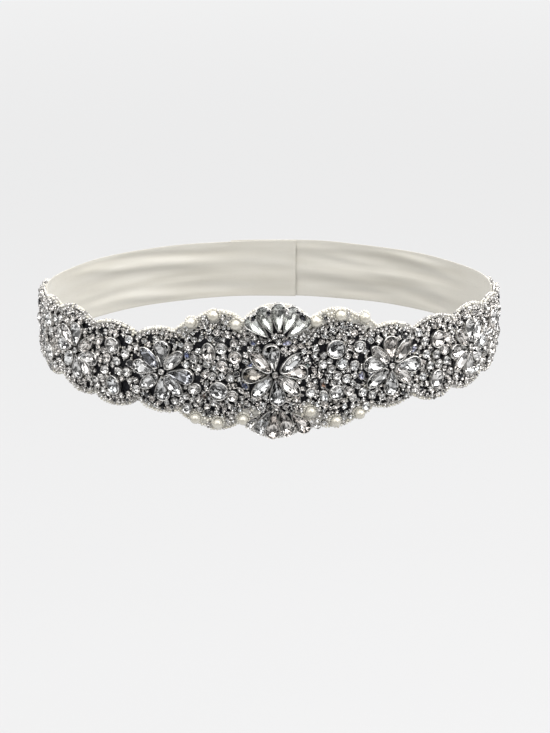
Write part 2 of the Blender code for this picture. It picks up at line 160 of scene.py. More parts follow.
# Middle-sized stones that can be told apart: u, v, width, height, turn.
ACCENTS = (
    (-29.2, 14.3, 6.4, 6.4, 0), (-28.4, 4.6, 6.4, 6.4, 0), (-21.6, 9.2, 7.2, 7.2, 0),
    (-36.6, 5.4, 4.6, 4.6, 0), (-43.6, 8.0, 4.8, 4.8, 0), (-43.4, -8.8, 7.4, 6.2, 20),
    (-23.2, -12.6, 6.4, 6.4, 0), (-47.8, -20.6, 6.2, 6.2, 0), (-22.6, 17.2, 4.4, 4.4, 0),
    (-34.0, -1.6, 4.6, 4.6, 0), (-24.6, -2.6, 4.8, 4.8, 0), (-46.6, 15.0, 5.0, 5.0, 0),
    (34.6, 3.8, 6.6, 6.6, 0), (41.6, 2.6, 5.2, 6.0, 0), (24.0, 4.4, 5.0, 5.0, 0),
    (28.8, 1.4, 4.8, 4.8, 0), (44.2, 13.2, 6.6, 6.6, 0), (32.0, -2.6, 5.0, 5.0, 0),
    (37.2, -4.6, 5.2, 5.2, 0), (25.0, -13.6, 4.8, 6.8, 25), (38.8, -12.2, 5.4, 5.4, 0),
    (46.0, -13.2, 5.2, 5.2, 0), (51.6, -15.6, 4.8, 4.8, 0), (48.2, -21.4, 5.2, 5.2, 0),
    (17.4, -11.6, 5.2, 5.2, 0), (-82.6, 7.0, 5.2, 5.2, 0), (-88.0, 2.4, 4.8, 4.8, 0),
    (-94.6, 2.6, 5.2, 5.2, 0), (-81.6, -3.6, 5.4, 5.4, 0), (-87.0, -3.4, 4.8, 4.8, 0),
    (-96.4, -4.6, 5.0, 5.0, 0), (-80.2, 15.6, 4.8, 4.8, 0), (-99.0, 12.4, 4.8, 7.4, -30),
    (-102.0, -13.0, 4.6, 7.2, 25), (-76.4, -12.6, 5.0, 5.0, 0), (-98.6, -9.4, 5.0, 5.0, 0),
    (84.0, 3.6, 5.0, 5.0, 0), (90.6, 2.2, 5.2, 5.2, 0), (96.4, 3.6, 5.0, 6.4, 30),
    (86.6, -3.6, 5.0, 5.0, 0), (93.0, -3.8, 5.0, 5.0, 0), (82.4, -9.4, 4.8, 4.8, 0),
    (82.8, 11.0, 5.0, 5.0, 0), (99.0, 10.2, 4.8, 6.6, 30), (100.4, -10.8, 4.8, 7.0, -25),
    (21.4, -29.6, 4.6, 6.4, 12), (98.2, -3.0, 5.0, 5.0, 0), (78.6, 16.4, 4.8, 4.8, 0), (77.4, -15.2, 5.0, 5.0, 0),
    (-131.0, 3.6, 5.2, 7.6, 15), (-133.4, -5.2, 5.0, 7.2, -20), (-150.2, 2.0, 5.4, 5.4, 0),
    (-158.0, -5.6, 5.2, 7.2, 40), (-157.2, 8.2, 5.6, 5.6, 0), (-168.0, 1.4, 5.0, 8.0, 80),
    (-180.0, -4.6, 5.4, 5.4, 0), (-181.0, 6.4, 5.0, 5.0, 0), (-194.0, 0.6, 5.2, 7.6, 90),
    (131.4, 3.8, 5.2, 7.6, -15), (133.8, -5.0, 5.0, 7.2, 20), (150.0, 1.6, 5.4, 5.4, 0),
    (158.4, -5.8, 5.2, 7.2, -40), (157.0, 8.4, 5.6, 5.6, 0), (168.4, 1.0, 5.0, 8.0, -80),
    (180.4, -4.4, 5.4, 5.4, 0), (181.2, 6.6, 5.0, 5.0, 0), (194.2, 0.4, 5.2, 7.6, 90),
)

# Stones with a dark or coloured foil: u, v, width, height, turn, tint. The
# tint is a place on the foil's colour ramp: 0 near black, 0.04 blue, 1 brown.
# The near-black and blue foils are painted shade, the dark bluish shadow
# between the petals and in the gaps.
TINTED = (
    (-16.6, -6.6, 3.6, 6.4, 35, 0.04),
    (-14.2, 4.6, 2.8, 4.8, -70, 0.04), (-47.6, 9.8, 3.4, 5.4, 10, 0.04),
    (15.6, 3.8, 3.0, 6.0, -60, 0.94), (45.6, -3.8, 3.6, 5.4, 10, 0.06),
    (5.4, 16.8, 3.2, 5.6, -75, 0.06), (-12.6, 17.2, 3.2, 4.6, 50, 0.04),
    (-38.6, -12.6, 3.0, 5.4, 0, 1.0), (24.4, -7.8, 3.0, 5.0, 15, 1.0),
    (18.0, -31.0, 2.4, 3.6, 20, 0.0), (76.4, 7.6, 3.2, 5.4, -30, 0.06), (51.4, -4.0, 2.8, 4.4, 70, 0.04),
)

# Stones, most with near-black foil, that stand up between the heads of the fan's stones; the near-black ones are
# painted shade, the dark spots between the heads.
FAN_SHADE_STONES = (
    (-12.2, 31.6, 3.2, 5.2, -28, 0.0), (-4.4, 34.2, 3.0, 4.8, -8, 0.0),
    (4.9, 34.6, 2.6, 4.2, 10, 0.5), (13.2, 31.8, 4.2, 6.0, 32, 0.0),
    (10.8, 34.4, 2.6, 3.6, 24, 0.02), (8.6, -31.4, 2.4, 3.8, -15, 0.0),
    (-9.8, -31.2, 2.4, 3.8, 12, 0.02), (2.6, -35.0, 2.2, 3.2, -5, 0.02),
)

# Places kept free of small stones, where the near-black ground shows as painted shade between the stones: u, v,
# radius.
GAPS = (
    (-41.4, 15.6, 1.7), (-47.6, 9.6, 1.3), (-41.6, -3.0, 1.6), (-47.0, -6.8, 1.3),
    (-17.6, 13.4, 1.2), (-18.6, 4.4, 1.1), (-17.4, -5.2, 1.6), (-56.4, 14.6, 1.4),
    (-67.6, 17.4, 1.6), (-53.0, -13.4, 1.4), (-66.6, -13.2, 1.2), (-37.6, -12.6, 1.2),
    (24.0, 13.8, 1.9), (44.8, 7.0, 1.5), (24.2, -8.6, 1.8), (14.2, -6.0, 1.5),
    (18.4, 6.4, 1.2), (57.0, 13.0, 1.2), (56.4, -8.6, 1.2), (49.4, 12.6, 1.2),
    (-83.6, 13.4, 2.5), (-104.6, 7.0, 2.2), (-84.2, 1.2, 1.5), (-101.8, -5.0, 2.0),
    (-83.2, -11.8, 2.4), (-97.2, 15.6, 1.6), (-92.2, -3.6, 1.5), (-77.0, 6.4, 1.5),
    (-76.4, -4.6, 1.5), (88.0, 14.6, 1.7), (103.0, 1.4, 1.6), (104.2, -6.6, 1.5),
    (87.6, -11.6, 1.9), (81.6, 5.4, 1.3), (79.2, -5.8, 1.2), (76.6, 11.2, 1.2),
    (-128.6, 9.6, 2.0), (-127.0, -9.4, 2.0), (128.0, 9.8, 1.6), (127.4, -9.6, 1.6),
    (-146.4, -3.4, 1.8), (146.6, -3.2, 1.4), (-166.0, 9.8, 1.8), (166.4, 9.6, 1.4),
)

_T = np.linspace(-math.pi, math.pi, 7201)
_X = HALF_WIDTH * np.sin(_T)
_Y = -HALF_DEPTH * np.cos(_T)
_S = np.concatenate([[0.0], np.cumsum(np.hypot(np.diff(_X), np.diff(_Y)))])
PERIMETER = float(_S[-1])
_S = _S - PERIMETER / 2.0
_RU = np.array([r[0] for r in RISE])
_RZ = np.array([r[1] for r in RISE])


def rise(u):
    u = (np.asarray(u, float) + PERIMETER / 2.0) % PERIMETER - PERIMETER / 2.0
    i = np.clip(np.searchsorted(_RU, u, side="right") - 1, 0, len(_RU) - 2)
    k = np.clip((u - _RU[i]) / (_RU[i + 1] - _RU[i]), 0.0, 1.0)
    return _RZ[i] + (_RZ[i + 1] - _RZ[i]) * (0.5 - 0.5 * np.cos(math.pi * k))


def waist_axes(u):
    """Base point, direction along the sash and outward direction at u."""
    s = (np.asarray(u, float) + PERIMETER / 2.0) % PERIMETER - PERIMETER / 2.0
    t = np.interp(s, _S, _T)
    nx, ny = HALF_DEPTH * np.sin(t), -HALF_WIDTH * np.cos(t)
    n = np.hypot(nx, ny)
    z = np.zeros_like(n)
    base = np.stack([HALF_WIDTH * np.sin(t), -HALF_DEPTH * np.cos(t), z], -1)
    out = np.stack([nx / n, ny / n, z], -1)
    along = np.stack([-ny / n, nx / n, z], -1)
    return base, along, out


def lay(u, v, h):
    """Flat millimetres to world metres."""
    u, v, h = np.broadcast_arrays(np.asarray(u, float), np.asarray(v, float),
                                  np.asarray(h, float))
    base, _along, out = waist_axes(u)
    p = base + out * h[..., None]
    p[..., 2] = v + rise(u)
    return p * MM


def half_height(u, table, upper, least=3.0):
    u = np.abs(np.asarray(u, float))
    best = np.full(u.shape, least)
    for _name, cu, vt, rt, vb, rb in table:
        v, r = (vt, rt) if upper else (-vb, rb)
        inside = np.clip(r * r - (u - cu) ** 2, 0.0, None)
        best = np.where(inside > 0.0, np.maximum(best, v + np.sqrt(inside)), best)
    return best


# ---------------------------------------------------------------------------
# Mesh building. A template is (points, faces, material index of each face);
# many placed copies are joined into one mesh.
# ---------------------------------------------------------------------------
class Heap:
    """Collects placed templates, then becomes one mesh object."""

    def __init__(self):
        self.co, self.loops, self.totals, self.mats, self.tints = [], [], [], [], []
        self.count = 0

    def add(self, points, faces, mats, tint=0.5):
        self.co.append(points)
        self.loops.extend(np.fromiter((i + self.count for f in faces for i in f), int))
        self.totals.extend(len(f) for f in faces)
        self.mats.extend(mats)
        self.tints.append(np.full(len(points), tint))
        self.count += len(points)

    def add_many(self, template, placed, tints):
        """placed: (copies, points, 3); the template's faces are repeated."""
        points, faces, mats = template
        n, k = len(points), len(placed)
        flat = np.fromiter((i for f in faces for i in f), int)
        offs = self.count + n * np.arange(k)
        self.co.append(placed.reshape(-1, 3))
        self.loops.extend((flat[None, :] + offs[:, None]).ravel())
        self.totals.extend(np.tile([len(f) for f in faces], k))
        self.mats.extend(np.tile(mats, k))
        self.tints.append(np.repeat(tints, n))
        self.count += n * k

    def build(self, name, materials, smooth=False):
        mesh = bpy.data.meshes.new(name)
        co = np.concatenate(self.co)
        loops = np.array(self.loops, np.int32)
        totals = np.array(self.totals, np.int32)
        mesh.vertices.add(len(co))
        mesh.vertices.foreach_set("co", co.astype(np.float32).ravel())
        mesh.loops.add(len(loops))
        mesh.loops.foreach_set("vertex_index", loops)
        mesh.polygons.add(len(totals))
        starts = np.concatenate([[0], np.cumsum(totals)[:-1]]).astype(np.int32)
        mesh.polygons.foreach_set("loop_start", starts)
        mesh.polygons.foreach_set("loop_total", totals)
        for m in materials:
            mesh.materials.append(m)
        mesh.polygons.foreach_set("material_index", np.array(self.mats, np.int32))
        mesh.polygons.foreach_set("use_smooth", np.full(len(totals), smooth))
        mesh.update(calc_edges=True)
        attribute = mesh.attributes.new("tint", "FLOAT", "POINT")
        attribute.data.foreach_set("value", np.concatenate(self.tints).astype(np.float32))
        mesh.validate()
        ob = bpy.data.objects.new(name, mesh)
        bpy.context.scene.collection.objects.link(ob)
        return ob


def stand(template_points, u, v, h, turn, tip=None):
    """Places copies of a template. Its x lies along the sash, y up, z out.
    turn is in radians about z; tip is an optional (copies, 2) small tilt."""
    u, v, h = (np.atleast_1d(np.asarray(a, float)) for a in (u, v, h))
    turn = np.broadcast_to(np.asarray(turn, float), u.shape)
    h = np.broadcast_to(h, u.shape)
    base, along, out = waist_axes(u)
    origin = base + out * h[:, None]
    origin[:, 2] = v + rise(u)
    up = np.zeros_like(along)
    up[:, 2] = 1.0
    if tip is not None:
        tip = np.asarray(tip, float)
        out = out + along * tip[:, :1] + up * tip[:, 1:]
        out /= np.linalg.norm(out, axis=1, keepdims=True)
        along = along - out * np.sum(along * out, 1, keepdims=True)
        along /= np.linalg.norm(along, axis=1, keepdims=True)
        up = np.cross(out, along)
    c, s = np.cos(turn)[:, None], np.sin(turn)[:, None]
    x = along * c + up * s
    y = -along * s + up * c
    p = np.asarray(template_points, float)
    return (origin[:, None, :] + p[None, :, 0:1] * x[:, None, :]
            + p[None, :, 1:2] * y[:, None, :]
            + p[None, :, 2:3] * out[:, None, :]) * MM


# ---------------------------------------------------------------------------
# Templates, in millimetres. y is the length of a pointed stone.
# ---------------------------------------------------------------------------
GLASS, FOIL = 0, 1


def round_outline(width, height, n):
    """Counter-clockwise from the top."""
    a = 2.0 * math.pi * np.arange(n) / n
    return np.stack([-width / 2.0 * np.sin(a), height / 2.0 * np.cos(a)], -1)


def pear_outline(width, length, n):
    """Round end at +y, point at -y, middle of the length at y = 0."""
    r = width / 2.0
    cy = length / 2.0 - r
    reach = cy + length / 2.0
    touch = math.acos(r / reach)
    arc = math.pi - touch
    straight = math.sqrt(reach * reach - r * r)
    total = arc * r + straight
    pts = []
    for k in range(n):
        s = total * 2.0 * k / n
        side = -1.0
        if s > total:
            s, side = 2.0 * total - s, 1.0
        if s <= arc * r:
            a = s / r
            x, y = r * math.sin(a), cy + r * math.cos(a)
        else:
            f = (s - arc * r) / straight
            tx, ty = r * math.sin(arc), cy + r * math.cos(arc)
            x, y = tx * (1.0 - f), ty + (-length / 2.0 - ty) * f
            x += 0.05 * width * math.sin(math.pi * f)
        pts.append((side * x, y))
    return np.array(pts)


def navette_outline(width, length, n):
    pts = []
    for k in range(n):
        f = 2.0 * k / n
        side = -1.0 if f <= 1.0 else 1.0
        g = f if f <= 1.0 else 2.0 - f
        y = length / 2.0 * math.cos(math.pi * g)
        x = width / 2.0 * math.sin(math.pi * g) ** 1.15
        pts.append((side * x, y))
    return np.array(pts)


def cut_stone(outline, girdle, crown, depth, table=0.56, middle=(0.0, 0.0),
              keel=0.0, edge=0.18):
    """A cut stone as one closed body: glass crown, foiled girdle and back.
    middle is the point below which the facets of the back meet; keel draws
    that point out into a ridge along y."""
    n = len(outline)
    o = np.asarray(outline, float)
    c = np.array(middle)
    pts, faces, mats = [], [], []

    def ring(scale, z, which, centre=c):
        start = len(pts)
        for i in which:
            x, y = centre + (o[i] - centre) * scale
            pts.append((x, y, z))
        return start

    every = list(range(n))
    even, odd = list(range(0, n, 2)), list(range(1, n, 2))
    m = n // 2
    g = ring(1.0, girdle + edge / 2.0, every)
    b = ring(1.0, girdle - edge / 2.0, every)
    t = ring(table, girdle + crown, even)
    k = ring(table + (1.0 - table) * 0.56, girdle + crown * 0.56, odd)
    low = ring(0.46, girdle - depth * 0.62, odd)
    tips = [len(pts)]
    if keel > 0.0:
        pts.append((c[0], c[1] + keel, girdle - depth))
        tips.append(len(pts))
        pts.append((c[0], c[1] - keel, girdle - depth))
    else:
        pts.append((c[0], c[1], girdle - depth))

    faces.append([t + j for j in range(m)])
    mats.append(GLASS)
    for j in range(m):
        i0, i1, i2 = 2 * j, (2 * j + 1) % n, (2 * j + 2) % n
        prev = (j - 1) % m
        nxt = (j + 1) % m
        # star, bezel (two triangles), upper girdle
        for f in ([t + nxt, t + j, k + j],
                  [t + j, k + prev, g + i0],
                  [t + j, g + i0, k + j],
                  [k + j, g + i0, g + i1],
                  [k + j, g + i1, g + i2]):
            faces.append(f)
            mats.append(GLASS)
        for a, z in ((i0, i1), (i1, i2)):
            faces.append([g + a, b + a, b + z, g + z])
            mats.append(FOIL)
        tip = tips[0]
        if len(tips) == 2 and o[i0][1] < c[1]:
            tip = tips[1]
        for f in ([b + i0, low + j, b + i1],
                  [b + i1, low + j, b + i2],
                  [b + i0, low + prev, tip],
                  [b + i0, tip, low + j]):
            faces.append(f)
            mats.append(FOIL)
    if len(tips) == 2:
        for j in range(m):
            i0, i2 = 2 * j, (2 * j + 2) % n
            a = tips[1] if o[i0][1] < c[1] else tips[0]
            z = tips[1] if o[i2][1] < c[1] else tips[0]
            if a != z:
                faces.append([low + j, a, z])
                mats.append(FOIL)
    return np.array(pts), faces, mats


def broad_stone(outline, girdle, crown, depth, table, shoulder, keel, lean):
    """A stone with a few large facets: table, one row of bezel facets with a
    shoulder line, and a foiled back that meets in a ridge along y. lean moves
    the table and the ridge a little to one side, so no two stones match."""
    o = np.asarray(outline, float)
    n = len(o)
    c = np.array(lean[:2])
    d = np.array(lean[2:])
    pts, faces, mats = [], [], []
    for scale, z in ((1.0, girdle - 0.1), (1.0, girdle + 0.1),
                     (shoulder, girdle + crown * 0.62), (table, girdle + crown)):
        shift = c * (1.0 - scale)
        for x, y in o * scale + shift:
            pts.append((x, y, z))
    tips = (len(pts), len(pts) + 1)
    pts.append((d[0], d[1] + keel, girdle - depth))
    pts.append((d[0], d[1] - keel, girdle - depth))
    for r in range(3):
        for i in range(n):
            j = (i + 1) % n
            faces.append([r * n + i, r * n + j, (r + 1) * n + j, (r + 1) * n + i])
            mats.append(FOIL if r == 0 else GLASS)
    faces.append([3 * n + i for i in range(n)])
    mats.append(GLASS)
    for i in range(n):
        j = (i + 1) % n
        a = tips[0] if o[i][1] >= d[1] else tips[1]
        b = tips[0] if o[j][1] >= d[1] else tips[1]
        faces.append([j, i, a])
        mats.append(FOIL)
        if a != b:
            faces.append([j, a, b])
            mats.append(FOIL)
    return np.array(pts), faces, mats


def cup(outline, height, wall=0.28, clear=0.08, flare=0.0, floor=0.0, crest=0.0):
    """A metal rim round a stone: outer wall, top edge and inner wall. crest
    raises the middle of the top edge, so that the rim is rounded."""
    o = np.asarray(outline, float)
    n = len(o)
    nxt, prv = np.roll(o, -1, 0), np.roll(o, 1, 0)
    d = nxt - prv
    d /= np.linalg.norm(d, axis=1, keepdims=True)
    normal = np.stack([d[:, 1], -d[:, 0]], -1)
    if np.sum(normal * o) < 0:
        normal = -normal
    profile = [(clear + wall - flare, floor), (clear + wall, height - crest)]
    if crest > 0.0:
        profile.append((clear + wall * 0.55, height + crest * 0.3))
    profile += [(clear, height - crest * 0.4), (clear, height - 0.55)]
    pts, faces = [], []
    for off, z in profile:
        for i in range(n):
            x, y = o[i] + normal[i] * off
            pts.append((x, y, z))
    rings = len(profile)
    for r in range(rings):
        q = (r + 1) % rings
        for i in range(n):
            j = (i + 1) % n
            faces.append([r * n + i, r * n + j, q * n + j, q * n + i])
    return np.array(pts), faces, [0] * len(faces)


def claw(x, y, dx, dy, z0, z1, reach, width, thick=0.26):
    """A bent prong at the stone's edge (x, y), leaning over it from (dx, dy)
    outside, up to z1."""
    out = np.array([dx, dy])
    side = np.array([-dy, dx]) * width / 2.0
    stations = ((0.34, z0, 1.0), (0.34, z1 - 0.55, 1.0), (0.12, z1 - 0.06, 0.9),
                (-reach, z1 + 0.12, 0.55))
    pts, faces = [], []
    for i, (off, z, w) in enumerate(stations):
        lift = (0.0, thick) if i >= 2 else (thick, 0.0)
        p = np.array([x, y])
        for sgn in (-1.0, 1.0):
            q = p + out * off + side * sgn * w
            pts.append((q[0], q[1], z))
        for sgn in (1.0, -1.0):
            q = p + out * (off + lift[0]) + side * sgn * w
            pts.append((q[0], q[1], z + lift[1]))
    for i in range(3):
        for a in range(4):
            z = (a + 1) % 4
            faces.append([4 * i + 4 + a, 4 * i + 4 + z, 4 * i + z, 4 * i + a])
    faces.append([0, 1, 2, 3])
    faces.append([15, 14, 13, 12])
    return np.array(pts), faces, [0] * len(faces)


def square_outline(width):
    """Eight points of a rounded square; the odd ones are its corners."""
    a = 2.0 * math.pi * np.arange(8) / 8
    s, c = np.sin(a), np.cos(a)
    return np.stack([-width / 2.0 * np.sign(s) * np.abs(s) ** 0.5,
                     width / 2.0 * np.sign(c) * np.abs(c) ** 0.5], -1)


def prong(x, y, z0, z1, width, thick, reach):
    """A short claw at a corner (x, y): up the side, then bent over the stone."""
    out = np.array([x, y]) / math.hypot(x, y)
    side = np.array([-out[1], out[0]]) * width / 2.0
    p = np.array([x, y])
    pts, faces = [], []
    for inner, outer, zi, zo, w in ((0.0, thick, z0, z0, 1.0),
                                    (0.0, thick, z1 - 0.12, z1 - 0.22, 1.0),
                                    (-reach, -reach * 0.75, z1 + 0.02, z1 + thick, 0.62)):
        for sgn in (-1.0, 1.0):
            q = p + out * inner + side * sgn * w
            pts.append((q[0], q[1], zi))
        for sgn in (1.0, -1.0):
            q = p + out * outer + side * sgn * w
            pts.append((q[0], q[1], zo))
    for i in range(2):
        for a in range(4):
            z = (a + 1) % 4
            faces.append([4 * i + 4 + a, 4 * i + 4 + z, 4 * i + z, 4 * i + a])
    faces.append([0, 1, 2, 3])
    faces.append([11, 10, 9, 8])
    return np.array(pts), faces, [0] * len(faces)


def small_setting(radius, tall):
    """A square cup with a claw at each corner."""
    o = square_outline(2.0 * radius - 0.30)
    made = [cup(o, tall - 0.10, wall=0.15, clear=0.0, flare=0.10)]
    for i in (1, 3, 5, 7):
        x, y = o[i] * 0.93
        made.append(prong(x, y, tall - 0.5, tall + 0.16 + 0.10 * radius,
                          0.34 * radius + 0.16, 0.22, 0.40 * radius))
    return joined(*made)


def joined(*templates):
    pts, faces, mats, n = [], [], [], 0
    for p, f, m in templates:
        pts.append(p)
        faces += [[i + n for i in x] for x in f]
        mats += list(m)
        n += len(p)
    return np.concatenate(pts), faces, mats


def claws(outline, at, z0, z1, reach=0.7, width=0.85, thick=0.26):
    made = []
    o = np.asarray(outline, float)
    for i in at:
        i = i % len(o)
        a, b = o[(i + 1) % len(o)], o[(i - 1) % len(o)]
        d = a - b
        d /= np.linalg.norm(d)
        nrm = np.array([d[1], -d[0]])
        if nrm @ o[i] < 0:
            nrm = -nrm
        made.append(claw(o[i][0], o[i][1], nrm[0], nrm[1], z0, z1, reach, width, thick))
    return joined(*made)


def barrel(radius, length, sides, hole=0.35):
    """A small cut bead lying on its side, its axis along x; hole is not used."""
    pts, faces = [], []
    rows = ((-0.5, 0.62), (-0.28, 1.0), (0.28, 1.0), (0.5, 0.62))
    for f, s in rows:
        for i in range(sides):
            a = 2.0 * math.pi * i / sides
            pts.append((length * f, radius * s * math.cos(a), radius * s * math.sin(a)))
    for r in range(3):
        for i in range(sides):
            j = (i + 1) % sides
            faces.append([r * sides + j, (r + 1) * sides + j,
                          (r + 1) * sides + i, r * sides + i])
    faces.append(list(range(sides))[::-1])
    faces.append([3 * sides + i for i in range(sides)])
    return np.array(pts), faces, [0] * len(faces)


# ---------------------------------------------------------------------------
# Materials
# ---------------------------------------------------------------------------
def new_material(name):
    mat = bpy.data.materials.new(name)
    mat.use_nodes = True
    tree = mat.node_tree
    return mat, tree, tree.nodes["Principled BSDF"]


def ramp(tree, source, stops):
    node = tree.nodes.new("ShaderNodeValToRGB")
    el = node.color_ramp.elements
    while len(el) < len(stops):
        el.new(0.5)
    for e, (p, c) in zip(el, stops):
        e.position = p
        e.color = (*c, 1.0)
    tree.links.new(source, node.inputs["Fac"])
    return node.outputs["Color"]


def span(tree, source, low, high, start=0.0, end=1.0):
    node = tree.nodes.new("ShaderNodeMapRange")
    node.inputs["From Min"].default_value = start
    node.inputs["From Max"].default_value = end
    node.inputs["To Min"].default_value = low
    node.inputs["To Max"].default_value = high
    tree.links.new(source, node.inputs["Value"])
    return node.outputs["Result"]


def noise(tree, scale, detail=2.0, vector=None, stretch=None):
    if vector is None:
        vector = tree.nodes.new("ShaderNodeTexCoord").outputs["Object"]
    if stretch is not None:
        m = tree.nodes.new("ShaderNodeMapping")
        m.inputs["Scale"].default_value = stretch
        tree.links.new(vector, m.inputs["Vector"])
        vector = m.outputs["Vector"]
    node = tree.nodes.new("ShaderNodeTexNoise")
    node.inputs["Scale"].default_value = scale
    node.inputs["Detail"].default_value = detail
    tree.links.new(vector, node.inputs["Vector"])
    return node.outputs["Fac"]


def attribute(tree, name):
    node = tree.nodes.new("ShaderNodeAttribute")
    node.attribute_name = name
    return node


def bump(tree, height, strength, distance, p):
    node = tree.nodes.new("ShaderNodeBump")
    node.inputs["Strength"].default_value = strength
    node.inputs["Distance"].default_value = distance
    tree.links.new(height, node.inputs["Height"])
    tree.links.new(node.outputs["Normal"], p.inputs["Normal"])


def crystal_glass():
    mat, tree, p = new_material("cut_crystal")
    p.inputs["Roughness"].default_value = 0.0
    p.inputs["IOR"].default_value = 1.58
    p.inputs["Transmission Weight"].default_value = 1.0
    tint = attribute(tree, "tint").outputs["Fac"]
    c = ramp(tree, tint, ((0.0, (0.97, 0.98, 0.983)), (0.5, (0.985, 0.985, 0.98)),
                          (1.0, (0.98, 0.972, 0.96))))
    tree.links.new(c, p.inputs["Base Color"])
    return mat


def foil():
    mat, tree, p = new_material("silver_foil")
    p.inputs["Metallic"].default_value = 1.0
    p.inputs["Roughness"].default_value = 0.035
    tint = attribute(tree, "tint").outputs["Fac"]
    # Near black (0 to 0.02) and navy (0.04) on this ramp are painted shade for dark stones in the gaps.
    c = ramp(tree, tint, ((0.0, (0.03, 0.03, 0.035)), (0.02, (0.03, 0.03, 0.035)),
                          (0.04, (0.16, 0.19, 0.33)), (0.06, (0.55, 0.56, 0.72)),
                          (0.08, (0.88, 0.89, 0.90)), (0.5, (0.92, 0.91, 0.90)),
                          (0.92, (0.90, 0.86, 0.83)), (0.94, (0.22, 0.30, 0.29)),
                          (0.96, (0.72, 0.80, 0.77)), (1.0, (0.30, 0.20, 0.15))))
    tree.links.new(c, p.inputs["Base Color"])
    return mat


def pale_foil():
    """The brushed, faintly green foil of the top fan's stones."""
    mat, tree, p = new_material("pale_foil")
    p.inputs["Metallic"].default_value = 1.0
    n = noise(tree, 500.0, 2.0)
    c = ramp(tree, n, ((0.35, (0.90, 0.925, 0.89)), (0.65, (0.96, 0.975, 0.95))))
    tree.links.new(c, p.inputs["Base Color"])
    tree.links.new(span(tree, n, 0.12, 0.24), p.inputs["Roughness"])
    return mat


def silver():
    mat, tree, p = new_material("setting_silver")
    p.inputs["Metallic"].default_value = 1.0
    n = noise(tree, 800.0, 3.0)
    c = ramp(tree, n, ((0.35, (0.70, 0.685, 0.665)), (0.6, (0.95, 0.93, 0.905))))
    tree.links.new(c, p.inputs["Base Color"])
    tree.links.new(span(tree, n, 0.16, 0.32), p.inputs["Roughness"])
    return mat


def rim_silver():
    mat, tree, p = new_material("rim_silver")
    p.inputs["Metallic"].default_value = 1.0
    n = noise(tree, 600.0, 3.0)
    c = ramp(tree, n, ((0.35, (0.84, 0.825, 0.80)), (0.6, (0.97, 0.955, 0.93))))
    tree.links.new(c, p.inputs["Base Color"])
    tree.links.new(span(tree, n, 0.26, 0.40), p.inputs["Roughness"])
    return mat


def bed():
    # Near-black ground between the stones: painted shade, the shadow in the gaps.
    mat, tree, p = new_material("painted_shade_ground")
    p.inputs["Metallic"].default_value = 0.4
    n = noise(tree, 650.0)
    c = ramp(tree, n, ((0.38, (0.006, 0.006, 0.010)), (0.7, (0.034, 0.034, 0.042))))
    tree.links.new(c, p.inputs["Base Color"])
    tree.links.new(span(tree, n, 0.45, 0.7), p.inputs["Roughness"])
    bump(tree, n, 0.6, 0.0004, p)
    return mat


def pearl():
    mat, tree, p = new_material("ivory_pearl")
    p.inputs["Coat Weight"].default_value = 0.8
    p.inputs["Metallic"].default_value = 0.32
    p.inputs["Coat Roughness"].default_value = 0.05
    n = noise(tree, 150.0)
    c = ramp(tree, n, ((0.35, (0.69, 0.65, 0.55)), (0.65, (0.78, 0.75, 0.67))))
    # The rim is painted paler than the middle: a painted sheen.
    rim_sheen = tree.nodes.new("ShaderNodeLayerWeight")
    rim_sheen.inputs["Blend"].default_value = 0.30
    mix = tree.nodes.new("ShaderNodeMix")
    mix.data_type = "RGBA"
    tree.links.new(rim_sheen.outputs["Facing"], mix.inputs["Factor"])
    tree.links.new(c, mix.inputs["A"])
    mix.inputs["B"].default_value = (0.80, 0.775, 0.69, 1.0)
    tree.links.new(mix.outputs["Result"], p.inputs["Base Color"])
    tree.links.new(span(tree, n, 0.16, 0.26), p.inputs["Roughness"])
    return mat


def lined_bead():
    mat, tree, p = new_material("lined_bead")
    p.inputs["Metallic"].default_value = 0.75
    p.inputs["Coat Weight"].default_value = 1.0
    tint = attribute(tree, "tint").outputs["Fac"]
    c = ramp(tree, tint, ((0.0, (0.22, 0.213, 0.208)), (0.4, (0.62, 0.60, 0.58)),
                          (1.0, (0.90, 0.875, 0.845))))
    tree.links.new(c, p.inputs["Base Color"])
    tree.links.new(span(tree, noise(tree, 900.0), 0.08, 0.24), p.inputs["Roughness"])
    return mat


def ivory_bead():
    mat, tree, p = new_material("ivory_bead")
    p.inputs["Coat Weight"].default_value = 0.6
    tint = attribute(tree, "tint").outputs["Fac"]
    c = ramp(tree, tint, ((0.0, (0.74, 0.70, 0.60)), (0.5, (0.83, 0.80, 0.72)),
                          (1.0, (0.91, 0.89, 0.83))))
    tree.links.new(c, p.inputs["Base Color"])
    tree.links.new(span(tree, noise(tree, 900.0), 0.15, 0.35), p.inputs["Roughness"])
    return mat


def satin():
    mat, tree, p = new_material("ribbon_satin")
    flat = attribute(tree, "flat").outputs["Vector"]
    broad = noise(tree, 0.05, 3.0, flat, (0.35, 2.2, 1.0))
    c = ramp(tree, broad, ((0.3, (0.60, 0.575, 0.51)), (0.7, (0.675, 0.655, 0.60))))
    tree.links.new(c, p.inputs["Base Color"])
    p.inputs["Sheen Weight"].default_value = 0.15
    threads = noise(tree, 1.0, 1.0, flat, (0.35, 5.0, 1.0))
    tree.links.new(span(tree, threads, 0.27, 0.42, 0.3, 0.7), p.inputs["Roughness"])
    bump(tree, threads, 0.35, 0.00006, p)
    return mat


